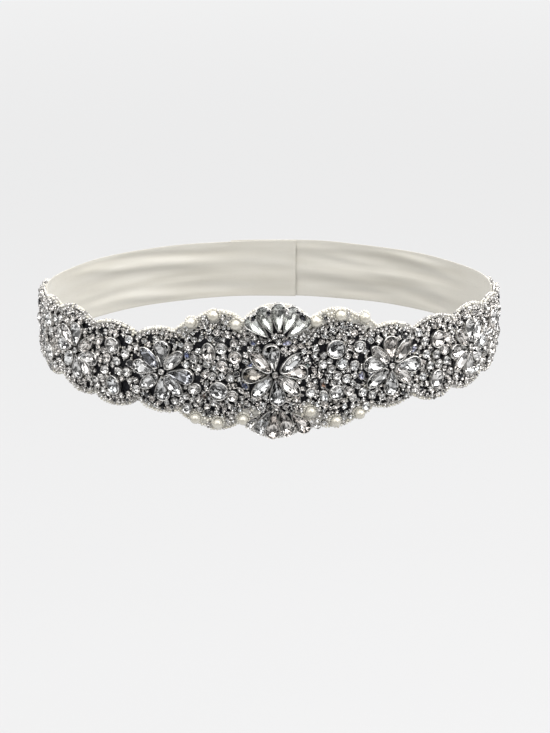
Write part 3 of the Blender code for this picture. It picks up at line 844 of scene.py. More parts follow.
def net():
    mat, tree, p = new_material("backing_net")
    flat = attribute(tree, "flat").outputs["Vector"]
    cells = tree.nodes.new("ShaderNodeTexVoronoi")
    cells.feature = "DISTANCE_TO_EDGE"
    cells.inputs["Scale"].default_value = 1.15
    cells.inputs["Randomness"].default_value = 0.25
    tree.links.new(flat, cells.inputs["Vector"])
    thread = span(tree, cells.outputs["Distance"], 1.0, 0.0, 0.05, 0.16)
    c = ramp(tree, thread, ((0.0, (0.74, 0.72, 0.665)), (1.0, (0.84, 0.825, 0.78))))
    tree.links.new(c, p.inputs["Base Color"])
    p.inputs["Roughness"].default_value = 0.85
    p.inputs["Sheen Weight"].default_value = 0.2
    bump(tree, thread, 0.3, 0.0001, p)
    return mat


M_GLASS, M_FOIL, M_SILVER, M_PAINTED_SHADE = crystal_glass(), foil(), silver(), bed()
M_RIM, M_PALE = rim_silver(), pale_foil()
M_PEARL, M_LINED, M_IVORY = pearl(), lined_bead(), ivory_bead()
M_SATIN, M_NET = satin(), net()


# ---------------------------------------------------------------------------
# Cloth shells
# ---------------------------------------------------------------------------
def shell(name, us, rows, inner, outer, material):
    """A closed thin wall from two laid-out grids. us: (m,), rows: (m, r) of v;
    inner, outer: functions of (u, v) giving h."""
    m, r = rows.shape
    uu = np.repeat(us[:, None], r, 1)
    ho, hi = outer(uu, rows), inner(uu, rows)
    a = lay(uu, rows, ho).reshape(-1, 3)
    b = lay(uu, rows, hi).reshape(-1, 3)
    faces = []

    def at(i, j, side):
        return side * m * r + i * r + j

    for i in range(m - 1):
        for j in range(r - 1):
            faces.append([at(i, j, 0), at(i + 1, j, 0), at(i + 1, j + 1, 0), at(i, j + 1, 0)])
            faces.append([at(i, j, 1), at(i, j + 1, 1), at(i + 1, j + 1, 1), at(i + 1, j, 1)])
    for i in range(m - 1):
        faces.append([at(i, 0, 0), at(i, 0, 1), at(i + 1, 0, 1), at(i + 1, 0, 0)])
        faces.append([at(i, r - 1, 0), at(i + 1, r - 1, 0), at(i + 1, r - 1, 1), at(i, r - 1, 1)])
    for j in range(r - 1):
        faces.append([at(0, j, 0), at(0, j + 1, 0), at(0, j + 1, 1), at(0, j, 1)])
        faces.append([at(m - 1, j, 0), at(m - 1, j, 1), at(m - 1, j + 1, 1), at(m - 1, j + 1, 0)])
    heap = Heap()
    heap.add(np.concatenate([a, b]), faces, [0] * len(faces))
    ob = heap.build(name, [material], smooth=True)
    flat = ob.data.attributes.new("flat", "FLOAT_VECTOR", "POINT")
    co = np.concatenate([np.stack([uu, rows, ho], -1).reshape(-1, 3),
                         np.stack([uu, rows, hi], -1).reshape(-1, 3)])
    flat.data.foreach_set("vector", co.astype(np.float32).ravel())
    ob.data.set_sharp_from_angle(angle=math.radians(50.0))
    return ob


RIBBON_HALF = PERIMETER / 2.0 + 20.0

# Soft folds pressed into the ribbon, mostly where it runs free round the back:
# u and v of the middle, length, width, slope, depth (a ridge where above 0).
CREASES = (
    (-364.0,   7.5, 24.0, 2.4,  0.05,  0.7), (-352.0,  -6.5, 30.0, 3.2, -0.04, -0.8),
    (-341.0,   1.5, 38.0, 2.2,  0.05,  0.9), (-330.0,  11.0, 27.0, 2.6, -0.06,  0.8),
    (-321.0, -11.0, 44.0, 3.0,  0.04,  1.0), (-308.0,   5.0, 55.0, 2.8,  0.03, -1.1),
    (-296.0,  -3.0, 33.0, 2.0, -0.07,  0.8), (-286.0,  12.5, 42.0, 2.2,  0.02,  0.9),
    (-273.0, -12.0, 31.0, 2.8,  0.06, -0.9), (-263.0,   2.5, 60.0, 3.4, -0.03,  1.2),
    (-252.0,   9.0, 26.0, 1.8,  0.09, -0.7), (-243.0,  -7.5, 37.0, 2.4, -0.05,  0.9),
    (-232.0,  12.5, 21.0, 2.0, -0.04, -0.6), (-226.0,  -1.0, 28.0, 2.2,  0.04,  0.7),
    (-219.0, -12.5, 23.0, 2.0,  0.05,  0.6), (-188.0,   6.0, 34.0, 2.6, -0.03,  0.6),
    (-151.0,  -8.0, 46.0, 3.0,  0.02, -0.7), (-104.0,   4.0, 52.0, 2.6,  0.02,  0.6),
    (-57.0,   -9.0, 39.0, 2.2, -0.03,  0.5), (-12.0,   10.0, 48.0, 3.2,  0.01, -0.6),
    (33.0,    -4.0, 41.0, 2.4,  0.03,  0.6), (79.0,     8.0, 56.0, 2.8, -0.02,  0.5),
    (126.0,   -6.0, 37.0, 3.0,  0.03, -0.6), (171.0,    3.0, 45.0, 2.4, -0.03,  0.7),
    (216.0,   11.5, 25.0, 2.0, -0.05,  0.6), (223.0,   -5.0, 32.0, 2.4,  0.04, -0.7),
    (234.0,  -13.0, 22.0, 1.8,  0.03,  0.6), (239.0,    4.5, 47.0, 2.6, -0.04,  1.0),
    (251.0,   13.0, 29.0, 2.2,  0.03, -0.8), (258.0,   -8.0, 41.0, 3.2,  0.05,  1.1),
    (270.0,    0.5, 35.0, 2.0, -0.06, -0.8), (279.0,    9.5, 50.0, 2.8,  0.02,  1.0),
    (291.0,  -12.5, 28.0, 2.2, -0.04,  0.8), (299.0,   -3.5, 57.0, 3.0,  0.03, -1.2),
    (313.0,    6.5, 33.0, 2.0,  0.07,  0.9), (322.0,   13.0, 24.0, 2.0, -0.03, -0.7),
    (331.0,   -8.5, 43.0, 2.6, -0.05,  0.9), (345.0,    2.0, 27.0, 2.4,  0.04, -0.7),
    (356.0,   10.5, 22.0, 2.0, -0.05,  0.6), (363.0,   -4.0, 25.0, 2.8,  0.03,  0.7),
)


def creases(u, v):
    total = np.zeros(np.broadcast(u, v).shape)
    for cu, cv, length, width, slope, depth in CREASES:
        d = (u - cu) / length
        e = (v - cv - slope * (u - cu) - 1.5 * np.sin((u - cu) / 31.0)) / width
        total += depth * np.exp(-2.0 * d * d - e * e)
    away = np.clip((np.abs(u) - 214.0) / 26.0, 0.0, 1.0)
    lap = np.clip((RIBBON_HALF - np.abs(u) - 30.0) / 40.0, 0.0, 1.0)
    share = 0.14 + 1.06 * away * (0.20 + 0.80 * lap)
    edge = np.clip((18.0 - np.abs(v)) / 3.0, 0.3, 1.0)
    return 1.5 * np.tanh(total * share * edge / 1.5)


def make_ribbon():
    us = np.linspace(-RIBBON_HALF, RIBBON_HALF, 640)
    vs = 18.0 * np.sin(np.linspace(-0.5, 0.5, 33) * math.pi)
    rows = np.repeat(vs[None, :], len(us), 0)
    rows = rows + (rows / 18.0) * (0.18 * np.sin(us / 23.0) + 0.12 * np.sin(us / 9.7 + 1.0))[:, None]

    def lift(u):
        k = np.clip((u - (RIBBON_HALF - 80.0)) / 32.0, 0.0, 1.0)
        return 1.4 * (0.5 - 0.5 * np.cos(math.pi * k))

    def selvedge(v):
        return 0.10 * np.exp(-((np.abs(v) - 17.2) / 0.45) ** 2)

    ob = shell("ribbon_satin", us, rows,
               lambda u, v: lift(u) + 0.24 + creases(u, v) - selvedge(v),
               lambda u, v: lift(u) + 0.70 + creases(u, v) + selvedge(v), M_SATIN)
    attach(ob, "root")
    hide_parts("ribbon")
    return ob


def make_backing():
    us = np.linspace(-NET_HALF_LENGTH, NET_HALF_LENGTH, 581)
    top = half_height(us, SCALLOPS, True) + 0.14 * np.sin(us / 2.3) * np.sin(us / 7.1)
    bottom = -half_height(us, SCALLOPS, False) + 0.14 * np.sin(us / 2.7) * np.sin(us / 6.3)
    f = np.linspace(0.0, 1.0, 19)
    rows = bottom[:, None] + (top - bottom)[:, None] * f[None, :]

    def soft(u, v):
        return 0.05 * np.sin(u / 5.1 + v / 3.7) * np.sin(v / 4.3 - u / 9.0)

    ob = shell("backing_net", us, rows, lambda u, v: NET_IN + soft(u, v),
               lambda u, v: NET_OUT + soft(u, v), M_NET)
    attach(ob, "root")
    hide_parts("backing")
    return ob


def make_stitches():
    """Small stitches that hold the lap at the centre back."""
    points, faces, _mats = barrel(0.16, 1.7, 6)
    points = points * np.array([1.0, 1.0, 0.6])
    heap = Heap()
    at = []
    for end in (RIBBON_HALF - 2.2, RIBBON_HALF - 37.6):
        at += [(end + 0.25 * math.sin(1.7 * k), -15.4 + 2.8 * k, 90.0 + 7.0 * math.sin(2.3 * k))
               for k in range(12)]
    for u, v, turn in at:
        h = 1.4 + 0.72 + float(creases(np.array(u), np.array(v)))
        heap.add(stand(points, u, v, h, math.radians(turn))[0], faces, [0] * len(faces), 0.5)
    ob = heap.build("lap_stitches", [M_IVORY], smooth=True)
    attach(ob, "root")


def make_painted_shade_bed():
    # The near-black painted-shade ground under the whole field of stones.
    us = np.linspace(-NET_HALF_LENGTH + 1.6, NET_HALF_LENGTH - 1.6, 481)
    top = half_height(us, FIELD_SCALLOPS, True) - 0.25
    bottom = -half_height(us, FIELD_SCALLOPS, False) + 0.25
    f = np.linspace(0.0, 1.0, 9)
    rows = bottom[:, None] + (top - bottom)[:, None] * f[None, :]
    ob = shell("painted_shade_bed", us, rows, lambda u, v: NET_OUT + 0.07 + 0.0 * u,
               lambda u, v: BED_OUT + 0.0 * u, M_PAINTED_SHADE)
    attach(ob, "root")
    return ob


# ---------------------------------------------------------------------------
# Large stones
# ---------------------------------------------------------------------------
def lean(size):
    return tuple(rng.normal(0.0, size, 2)) + tuple(rng.normal(0.0, size * 0.6, 2))


def pear_parts(width, length, n=12):
    o = pear_outline(width - 1.0, length - 1.0, n)
    cy = (length - width) / 2.0
    a, b, c, d = lean(0.35)
    gem = broad_stone(o, 2.0, rng.uniform(1.5, 2.0), rng.uniform(1.3, 1.8),
                      rng.uniform(0.44, 0.56), rng.uniform(0.72, 0.80),
                      length * 0.12, (a, b + cy * 0.4, c, d + cy * 0.45))
    rim = pear_outline(width - 1.0, length - 1.0, 2 * n)
    setting = joined(cup(rim, 2.3, wall=0.40, crest=0.18),
                     claws(rim, (2, 2 * n - 2, 8, 2 * n - 8, n),
                           0.0, 2.6, reach=0.6, width=0.8))
    return gem, setting, o


def navette_parts(width, length, n=12):
    o = navette_outline(width - 1.0, length - 1.0, n)
    gem = broad_stone(o, 2.0, rng.uniform(1.5, 1.9), rng.uniform(1.3, 1.7),
                      rng.uniform(0.44, 0.56), rng.uniform(0.72, 0.80),
                      length * 0.17, lean(0.3))
    rim = navette_outline(width - 1.0, length - 1.0, 2 * n)
    setting = joined(cup(rim, 2.3, wall=0.40, crest=0.18),
                     claws(rim, (0, n, 4, 2 * n - 4, n - 4, n + 4), 0.0, 2.6,
                           reach=0.6, width=0.8))
    return gem, setting, o


def round_parts(width, height, n=12):
    o = round_outline(width - 1.0, height - 1.0, n)
    gem = broad_stone(o, 2.0, rng.uniform(1.6, 2.0), rng.uniform(1.3, 1.8),
                      rng.uniform(0.46, 0.58), rng.uniform(0.74, 0.82),
                      0.35, lean(0.3))
    rim = round_outline(width - 1.0, height - 1.0, 2 * n)
    setting = joined(cup(rim, 2.3, wall=0.44, crest=0.2),
                     claws(rim, (2, 8, 14, 20), 0.0, 2.7, reach=0.6, width=0.9))
    return gem, setting, o


def accent_parts(width, height):
    """A middle-sized cut stone in a four-claw cup, lower than the large ones."""
    r = min(width, height) / 2.0
    n = 12
    outline = round_outline if height < width * 1.3 else navette_outline
    o = outline(width - 0.7, height - 0.7, n)
    rim = outline(width - 0.7, height - 0.7, 2 * n)
    tall = 0.7 + 0.45 * r
    gem = cut_stone(o, tall, 0.50 * r, 0.46 * r, table=rng.uniform(0.5, 0.62), edge=0.14)
    setting = joined(cup(rim, tall + 0.1, wall=0.32, clear=0.04, crest=0.14),
                     claws(rim, (2, 8, 14, 20), 0.1, tall + 0.3 + 0.12 * r,
                           reach=0.5, width=0.95, thick=0.24))
    return gem, setting, o


big_outlines = []          # flat outlines of everything large, for the packing


def flat_outline(o, u, v, turn):
    c, s = math.cos(turn), math.sin(turn)
    x = o[:, 0] * c - o[:, 1] * s
    y = o[:, 0] * s + o[:, 1] * c
    big_outlines.append(np.stack([u + x, v + y], -1))


def put(gems, settings, parts, u, v, turn, h=SEAT, tip=(0.0, 0.0), tint=None):
    gem, setting, o = parts
    tint = rng.uniform(0.08, 0.92) if tint is None else tint
    tip = np.array([tip])
    gems.add(stand(gem[0], u, v, h, turn, tip)[0], gem[1], gem[2], tint)
    settings.add(stand(setting[0], u, v, h, turn, tip)[0], setting[1], setting[2], tint)
    flat_outline(o, u, v, turn)


def finish_stones(name, gems, settings, nodes):
    g = gems.build(name + "_stones", [M_GLASS, M_PALE if name == "fan_top" else M_FOIL])
    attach(g, "root")
    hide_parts(*nodes)
    s = settings.build(name + "_settings", [M_RIM])
    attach(s, "root")


def make_flower(name):
    gems, settings = Heap(), Heap()
    u, v, k, petals = PETALS[name]
    for kind, angle, start, length, width in petals:
        a = math.radians(angle)
        make = pear_parts if kind == PEAR else navette_parts
        r = (start - 0.7 + length / 2.0) * k
        dome = 0.05 + rng.normal(0.0, 0.04)
        lift = 0.0
        if name == "flower_centre":
            dome += PETAL_TILTS[angle]
            lift = 2.4 * abs(dome)
        tint = SHADED_PETALS.get((name, angle))
        put(gems, settings, make(width * k, length * k), u + r * math.sin(a),
            v + r * math.cos(a), -a, tint=tint,
            h=SEAT + (1.1 if kind == PEAR else 0.8) + lift,
            tip=(dome * math.sin(a) + rng.normal(0.0, 0.04),
                 dome * math.cos(a) + rng.normal(0.0, 0.04)))
    put(gems, settings, accent_parts(3.1, 3.1), u, v, rng.random(), h=SEAT + 2.3)
    finish_stones(name, gems, settings, [name])


def fan_painted_shade_ground(heap, table, centre, sign):
    """The near-black seat that follows the heads of a fan's stones: painted shade round and between them."""
    arc, n = [], 60
    low = min(r[1] for r in table) - 2.0
    high = max(r[1] for r in table) + 2.0
    for k in range(n + 1):
        angle = low + (high - low) * k / n
        reach = 0.0
        for _row, middle, start, length, width in table:
            across = math.radians(angle - middle) * (start + length - width / 2.0)
            left = (width / 2.0) ** 2 - across * across
            if left > 0.0:
                reach = max(reach, start + length - width / 2.0 + math.sqrt(left) - 0.6)
        reach = max(reach, 16.5 if abs(angle) < 35.0 else 14.0)
        arc.append((math.radians(angle), reach))
    pts, faces = [], []
    for z in (NET_OUT + 0.05, NET_OUT + 0.30):
        for r0 in (0.0, 1.0):
            for a, reach in arc:
                r = reach if r0 else 6.0
                u, v = centre[0] + r * math.sin(a), centre[1] + sign * r * math.cos(a)
                pts.append(lay(u, v, z))
    m = n + 1
    for k in range(n):
        i, o, i2, o2 = k, m + k, 2 * m + k, 3 * m + k
        faces += [[i, i + 1, o + 1, o], [i2, o2, o2 + 1, i2 + 1],
                  [o, o + 1, o2 + 1, o2], [i, i2, i2 + 1, i + 1]]
    for k, flip in ((0, 1), (n, -1)):
        faces.append([k, m + k, 3 * m + k, 2 * m + k][::flip])
    if sign > 0.0:
        faces = [f[::-1] for f in faces]
    heap.add(np.array(pts), faces, [0] * len(faces))


def make_fan_painted_shade():
    heap = Heap()
    fan_painted_shade_ground(heap, FAN_TOP, FAN_CENTRE_TOP, 1.0)
    fan_painted_shade_ground(heap, FAN_BOTTOM, FAN_CENTRE_BOTTOM, -1.0)
    ob = heap.build("fan_painted_shade", [M_PAINTED_SHADE])
    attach(ob, "root")


def make_fan(name, table, centre, sign):
    gems, settings = Heap(), Heap()
    for _row, angle, start, length, width in table:
        a = math.radians(angle if sign > 0 else 180.0 - angle)
        r = start + length / 2.0
        put(gems, settings, pear_parts(width, length), centre[0] + r * math.sin(a),
            centre[1] + r * math.cos(a), -a, h=SEAT + (0.3 if sign > 0 else 0.9),
            tip=(0.08 * math.sin(a) + rng.normal(0.0, 0.03)
                 + (0.14 if sign < 0 and angle < -20.0 else 0.0),
                 (0.18 if sign > 0 else 0.06) + rng.normal(0.0, 0.04)))
    finish_stones(name, gems, settings, [name])


def make_singles():
    gems, settings = Heap(), Heap()
    for _name, u, v, w, h in STONES:
        put(gems, settings, round_parts(w, h), u, v, rng.normal(0.0, 0.1),
            h=SEAT + 1.1, tip=rng.normal(0.0, 0.05, 2))
    for u, v, w, h, turn in ACCENTS:
        put(gems, settings, accent_parts(w, h), u, v, math.radians(turn),
            h=SEAT + rng.uniform(0.1, 0.7), tip=rng.normal(0.0, 0.10, 2))
    # Near-black foil stones between the fan's heads: painted shade.
    for u, v, w, h, turn, tint in FAN_SHADE_STONES:
        put(gems, settings, accent_parts(w, h), u, v, math.radians(turn), h=SEAT + 2.0,
            tip=(0.0, 0.15 if v > 0.0 else -0.1), tint=tint)
    for u, v, w, h, turn, tint in TINTED:
        put(gems, settings, accent_parts(w, h), u, v, math.radians(turn), h=SEAT,
            tip=rng.normal(0.0, 0.12, 2), tint=tint)
    finish_stones("single", gems, settings, [s[0] for s in STONES])


def make_pearls():
    heap = Heap()
    n, m, r = 28, 14, 2.8
    pts = [(0, 0, r)]
    for j in range(1, m):
        a = math.pi * j / m
        for i in range(n):
            b = 2.0 * math.pi * i / n
            pts.append((r * math.sin(a) * math.cos(b), r * math.sin(a) * math.sin(b),
                        r * math.cos(a)))
    pts.append((0, 0, -r))
    faces = [[0, 1 + i, 1 + (i + 1) % n] for i in range(n)]
    for j in range(m - 2):
        for i in range(n):
            a, b = 1 + j * n + i, 1 + j * n + (i + 1) % n
            faces.append([a, a + n, b + n, b])
    last = len(pts) - 1
    faces += [[last, 1 + (m - 2) * n + (i + 1) % n, 1 + (m - 2) * n + i] for i in range(n)]
    pts = np.array(pts, float)
    u = np.array([p[1] for p in PEARLS])
    v = np.array([p[2] for p in PEARLS])
    placed = stand(pts, u, v, np.full(len(u), 5.5), rng.random(len(u)) * 6.0,
                   rng.normal(0.0, 0.3, (len(u), 2)))
    heap.add_many((pts, faces, [0] * len(faces)), placed, rng.random(len(u)))
    ob = heap.build("pearls", [M_PEARL], smooth=True)
    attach(ob, "root")
    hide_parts(*[p[0] for p in PEARLS])
    a = 2.0 * math.pi * np.arange(20) / 20
    for x, y in zip(u, v):
        big_outlines.append(np.stack([x + 3.2 * np.cos(a), y + 3.2 * np.sin(a)], -1))


make_ribbon()
make_stitches()
make_backing()
make_painted_shade_bed()
for _n in PETALS:
    make_flower(_n)
make_fan_painted_shade()
make_fan("fan_top", FAN_TOP, FAN_CENTRE_TOP, 1.0)
make_fan("fan_bottom", FAN_BOTTOM, FAN_CENTRE_BOTTOM, -1.0)
make_singles()
make_pearls()


# ---------------------------------------------------------------------------
# Packing the small stones and beads: a map of free room on the flat sash.
# ---------------------------------------------------------------------------
STEP = 0.3
GU = np.arange(-217.0, 217.01, STEP)
GV = np.arange(-40.5, 40.51, STEP)


def room_inside(table, inset):
    """Distance from each map point to the outline of a scallop table."""
    us = np.arange(-219.0, 219.01, 0.25)
    top = half_height(us, table, True, 0.0)
    bottom = -half_height(us, table, False, 0.0)
    room = np.empty((len(GU), len(GV)))
    for i, u in enumerate(GU):
        near = np.abs(us - u) < 9.0
        du = us[near] - u
        d_top = np.sqrt(np.min(du[:, None] ** 2 + (top[near][:, None] - GV[None, :]) ** 2, 0))
        d_bot = np.sqrt(np.min(du[:, None] ** 2 + (bottom[near][:, None] - GV[None, :]) ** 2, 0))
        t = np.interp(u, us, top)
        b = np.interp(u, us, bottom)
        inside = (GV < t) & (GV > b)
        room[i] = np.where(inside, np.minimum(d_top, d_bot), -1.0)
    return room - inset


def block_outline(room, o, gap):
    low, high = o.min(0) - 7.0, o.max(0) + 7.0
    i0, i1 = np.searchsorted(GU, [low[0], high[0]])
    j0, j1 = np.searchsorted(GV, [low[1], high[1]])
    if i0 >= i1 or j0 >= j1:
        return
    X, Y = np.meshgrid(GU[i0:i1], GV[j0:j1], indexing="ij")
    a, b = o, np.roll(o, -1, 0)
    d = np.full(X.shape, 1e9)
    inside = np.zeros(X.shape, bool)
    for (x0, y0), (x1, y1) in zip(a, b):
        ex, ey = x1 - x0, y1 - y0
        t = np.clip(((X - x0) * ex + (Y - y0) * ey) / (ex * ex + ey * ey), 0.0, 1.0)
        d = np.minimum(d, np.hypot(X - x0 - t * ex, Y - y0 - t * ey))
        crosses = ((y0 > Y) != (y1 > Y)) & (X < (x1 - x0) * (Y - y0) / (y1 - y0 + 1e-12) + x0)
        inside ^= crosses
    d = np.where(inside, -1.0, d - gap)
    room[i0:i1, j0:j1] = np.minimum(room[i0:i1, j0:j1], d)


def block_disc(room, x, y, r):
    i0, i1 = np.searchsorted(GU, [x - r - 6.0, x + r + 6.0])
    j0, j1 = np.searchsorted(GV, [y - r - 6.0, y + r + 6.0])
    d = np.hypot(GU[i0:i1, None] - x, GV[None, j0:j1] - y) - r
    room[i0:i1, j0:j1] = np.minimum(room[i0:i1, j0:j1], d)


def room_at(room, x, y):
    i = int(round((x - GU[0]) / STEP))
    j = int(round((y - GV[0]) / STEP))
    if 0 <= i < len(GU) and 0 <= j < len(GV):
        return room[i, j]
    return -1.0


def pack(room, radius, most, slack=0.22, gap=0.04):
    """Places discs snugly against what is there already, until none fits."""
    made = []
    while len(made) < most:
        ii, jj = np.nonzero((room >= radius) & (room <= radius + slack))
        if len(ii) == 0:
            ii, jj = np.nonzero(room >= radius)
            if len(ii) == 0:
                break
        order = rng.permutation(len(ii))
        before = len(made)
        for o in order:
            i, j = ii[o], jj[o]
            if room[i, j] >= radius:
                x, y = GU[i], GV[j]
                made.append((x, y))
                block_disc(room, x, y, radius + gap)
                if len(made) >= most:
                    break
        if len(made) == before:
            break
    return made


def along_curve(room, pts, radius, gap=0.06, tolerance=0.12):
    """Places discs one after another along a curve, where there is room."""
    seg = np.hypot(*np.diff(pts, axis=0).T)
    s = np.concatenate([[0.0], np.cumsum(seg)])
    made, at = [], 0.0
    while at < s[-1]:
        x = float(np.interp(at, s, pts[:, 0]))
        y = float(np.interp(at, s, pts[:, 1]))
        if room is None or room_at(room, x, y) >= radius - tolerance:
            made.append((x, y))
            if room is not None:
                block_disc(room, x, y, radius)
            at += 2.0 * radius + gap
        else:
            at += 0.25
    return made


def outline_curve(table, inset, upper):
    """A line just inside the outline, at an even distance from it."""
    us = np.arange(-217.0, 217.01, 0.5)
    v = half_height(us, table, upper, 0.0) * (1.0 if upper else -1.0)
    d = np.stack([np.gradient(us), np.gradient(v)], -1)
    d /= np.linalg.norm(d, axis=1, keepdims=True)
    n = np.stack([d[:, 1], -d[:, 0]], -1) * (1.0 if upper else -1.0)
    return np.stack([us, v], -1) + n * inset


net_room = room_inside(SCALLOPS, 0.1)
field_room = room_inside(FIELD_SCALLOPS, 0.0)
for o in big_outlines:
    block_outline(net_room, o, 0.55)
    block_outline(field_room, o, 0.55)
for _u, _v, _r in GAPS:
    block_disc(net_room, _u, _v, _r)
    block_disc(field_room, _u, _v, _r)
for _u, _v, _k, _p in PETALS.values():
    block_disc(net_room, _u, _v, 10.5 * _k)
    block_disc(field_room, _u, _v, 10.5 * _k)

small = {}                       # radius -> list of (u, v, h)


def keep(radius, points, h, drop=0.0):
    for x, y in points:
        block_disc(net_room, x, y, radius)
        if rng.random() >= drop:
            small.setdefault(radius, []).append((x, y, h))


# Rows along the scalloped edges of the field, then the field itself.
for upper in (True, False):
    keep(1.2, along_curve(field_room, outline_curve(FIELD_SCALLOPS, 1.15, upper), 1.2,
                          gap=0.12), SEAT)


def pack_long(room, most, width, length):
    """Pointed stones turned every way, where their whole length has room."""
    made = []
    ii, jj = np.nonzero(room >= width / 2.0 + 0.15)
    for o in rng.permutation(len(ii)):
        x, y, turn = GU[ii[o]], GV[jj[o]], rng.uniform(0.0, math.pi)
        reach = length * 0.30
        dx, dy = -math.sin(turn) * reach, math.cos(turn) * reach
        if (room_at(room, x, y) >= width / 2.0 + 0.1
                and room_at(room, x + dx, y + dy) >= width * 0.36
                and room_at(room, x - dx, y - dy) >= width * 0.36):
            shape = navette_outline(width - 0.3, length - 0.3, 12)
            c, s_ = math.cos(turn), math.sin(turn)
            flat = np.stack([x + shape[:, 0] * c - shape[:, 1] * s_,
                             y + shape[:, 0] * s_ + shape[:, 1] * c], -1)
            block_outline(room, flat, 0.2)
            block_outline(net_room, flat, 0.2)
            made.append((x, y, turn))
            if len(made) >= most:
                break
    return made


outer_room = np.where(np.abs(GU)[:, None] > 72.0, field_room, -1.0)
long_stones = [(3.4, 6.4, q) for q in pack_long(outer_room, 46, 3.4, 6.4)]
for _w, _l, (_x, _y, _t) in long_stones:
    block_disc(field_room, _x, _y, 1.5)
    for _s in (-1.0, 1.0):
        block_disc(field_room, _x - math.sin(_t) * 1.8 * _s, _y + math.cos(_t) * 1.8 * _s, 0.9)
for q in pack_long(field_room, 34, 2.6, 5.0):
    long_stones.append((2.6, 5.0, q))

for radius, most, drop in ((2.1, 60, 0.0), (1.7, 200, 0.0), (1.35, 480, 0.02),
                           (1.05, 2600, 0.14), (0.8, 2600, 0.42)):
    keep(radius, pack(field_room, radius, most, gap=0.0), SEAT, drop)

# Small stones on the net between the pearls, with clear net round each pearl.
cluster_room = np.where((np.abs(GU)[:, None] > 12.0) & (np.abs(GU)[:, None] < 56.0),
                        np.minimum(net_room, room_inside(SCALLOPS, 0.5)), -1.0)
clusters = []
for radius, most in ((1.35, 120), (1.05, 400)):
    made = [q for q in pack(cluster_room, radius, most, gap=0.02) if rng.random() > 0.10]
    clusters += [(x, y, radius) for x, y in made]
    keep(radius, made, NET_OUT + 0.34)

beads = {"lined": {}, "ivory": {}}


def share_beads(radius, points, ivory):
    for x, y in points:
        kind = "ivory" if rng.random() < ivory else "lined"
        beads[kind].setdefault(radius, []).append((x, y))


for upper in (True, False):
    edge = along_curve(None, outline_curve(SCALLOPS, 0.1, upper), 0.72, gap=0.25)
    edge = [(x + rng.normal(0, 0.12), y + rng.normal(0, 0.2)) for x, y in edge
            if abs(x) > 15.5]
    for x, y in edge:
        block_disc(net_room, x, y, 0.7)
    share_beads(0.72, [q for q in edge if abs(q[0]) < 72.0], 0.84)
    share_beads(0.72, [q for q in edge if abs(q[0]) >= 72.0], 0.45)
    picot = along_curve(None, outline_curve(SCALLOPS, -0.15, upper), 0.62, gap=0.15)
    far = [q for q in picot if abs(q[0]) > 72.0 and rng.random() < 0.6]
    beads["far picot"] = beads.get("far picot", []) + far
    beads["picot"] = beads.get("picot", []) + [q for q in picot if q not in far]
for radius, most, drop in ((0.8, 1500, 0.40), (0.6, 1900, 0.55)):
    made = pack(net_room, radius, most, gap=0.0)
    share_beads(radius, [q for q in made if rng.random() >= drop], 0.66)
beads["halo"] = []
for _n, _x, _y in PEARLS:
    for _k in range(16):
        _a = 2.0 * math.pi * (_k + rng.uniform(-0.12, 0.12)) / 16.0
        _r = 3.2 + rng.normal(0.0, 0.06)
        beads["halo"].append((_x + _r * math.cos(_a), _y + _r * math.sin(_a)))


def make_small_stones():
    sides = (("left", lambda u: u < 0.0), ("right", lambda u: u >= 0.0))
    for side, test in sides:
        gems, settings = Heap(), Heap()
        for width, length, (x, y, turn) in long_stones:
            if not test(x):
                continue
            o = navette_outline(width - 0.7, length - 0.7, 12)
            tall = 0.75 + 0.3 * width
            gem = cut_stone(o, tall, 0.27 * width, 0.25 * width,
                            table=rng.uniform(0.5, 0.62), edge=0.12, keel=length * 0.12)
            setting = joined(cup(o, tall + 0.08, wall=0.26, clear=0.03, crest=0.12),
                             claws(o, (0, 3, 6, 9), 0.1, tall + 0.2, reach=0.35,
                                   width=0.6, thick=0.2))
            h, tip, tint = SEAT + rng.random() * 0.8, rng.normal(0.0, 0.2, (1, 2)), rng.uniform(0.08, 0.92)
            gems.add(stand(gem[0], x, y, h, turn, tip)[0], gem[1], gem[2], tint)
            settings.add(stand(setting[0], x, y, h, turn, tip)[0], setting[1], setting[2], tint)
        for radius, points in sorted(small.items()):
            p = np.array([q for q in points if test(q[0])])
            if len(p) == 0:
                continue
            n = 12 if radius > 1.5 else 8
            o = round_outline(2.0 * radius - 0.34, 2.0 * radius - 0.34, n)
            tall = 0.55 + 0.45 * radius
            gem = cut_stone(o, tall, 0.46 * radius, 0.46 * radius, table=0.60,
                            edge=0.10)
            setting = small_setting(radius, tall)
            k = len(p)
            turn = rng.random(k) * 6.283
            tip = rng.normal(0.0, 0.26, (k, 2))
            warm = np.where(np.abs(p[:, 0]) > 76.0, 0.5, 0.08)
            # One stone in ten gets the near-black foil: painted shade, dark spots among the bright stones.
            tint = np.where(rng.random(k) < 0.10, 0.0, rng.uniform(warm, 0.92))
            h = p[:, 2] + rng.random(k) * 1.1
            gems.add_many(gem, stand(gem[0], p[:, 0], p[:, 1], h, turn, tip), tint)
            settings.add_many(setting, stand(setting[0], p[:, 0], p[:, 1], h, turn, tip), tint)
        g = gems.build("small_stones_" + side, [M_GLASS, M_FOIL])
        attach(g, "root")
        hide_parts("bead_field_" + side)
        s = settings.build("small_settings_" + side, [M_SILVER])
        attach(s, "root")


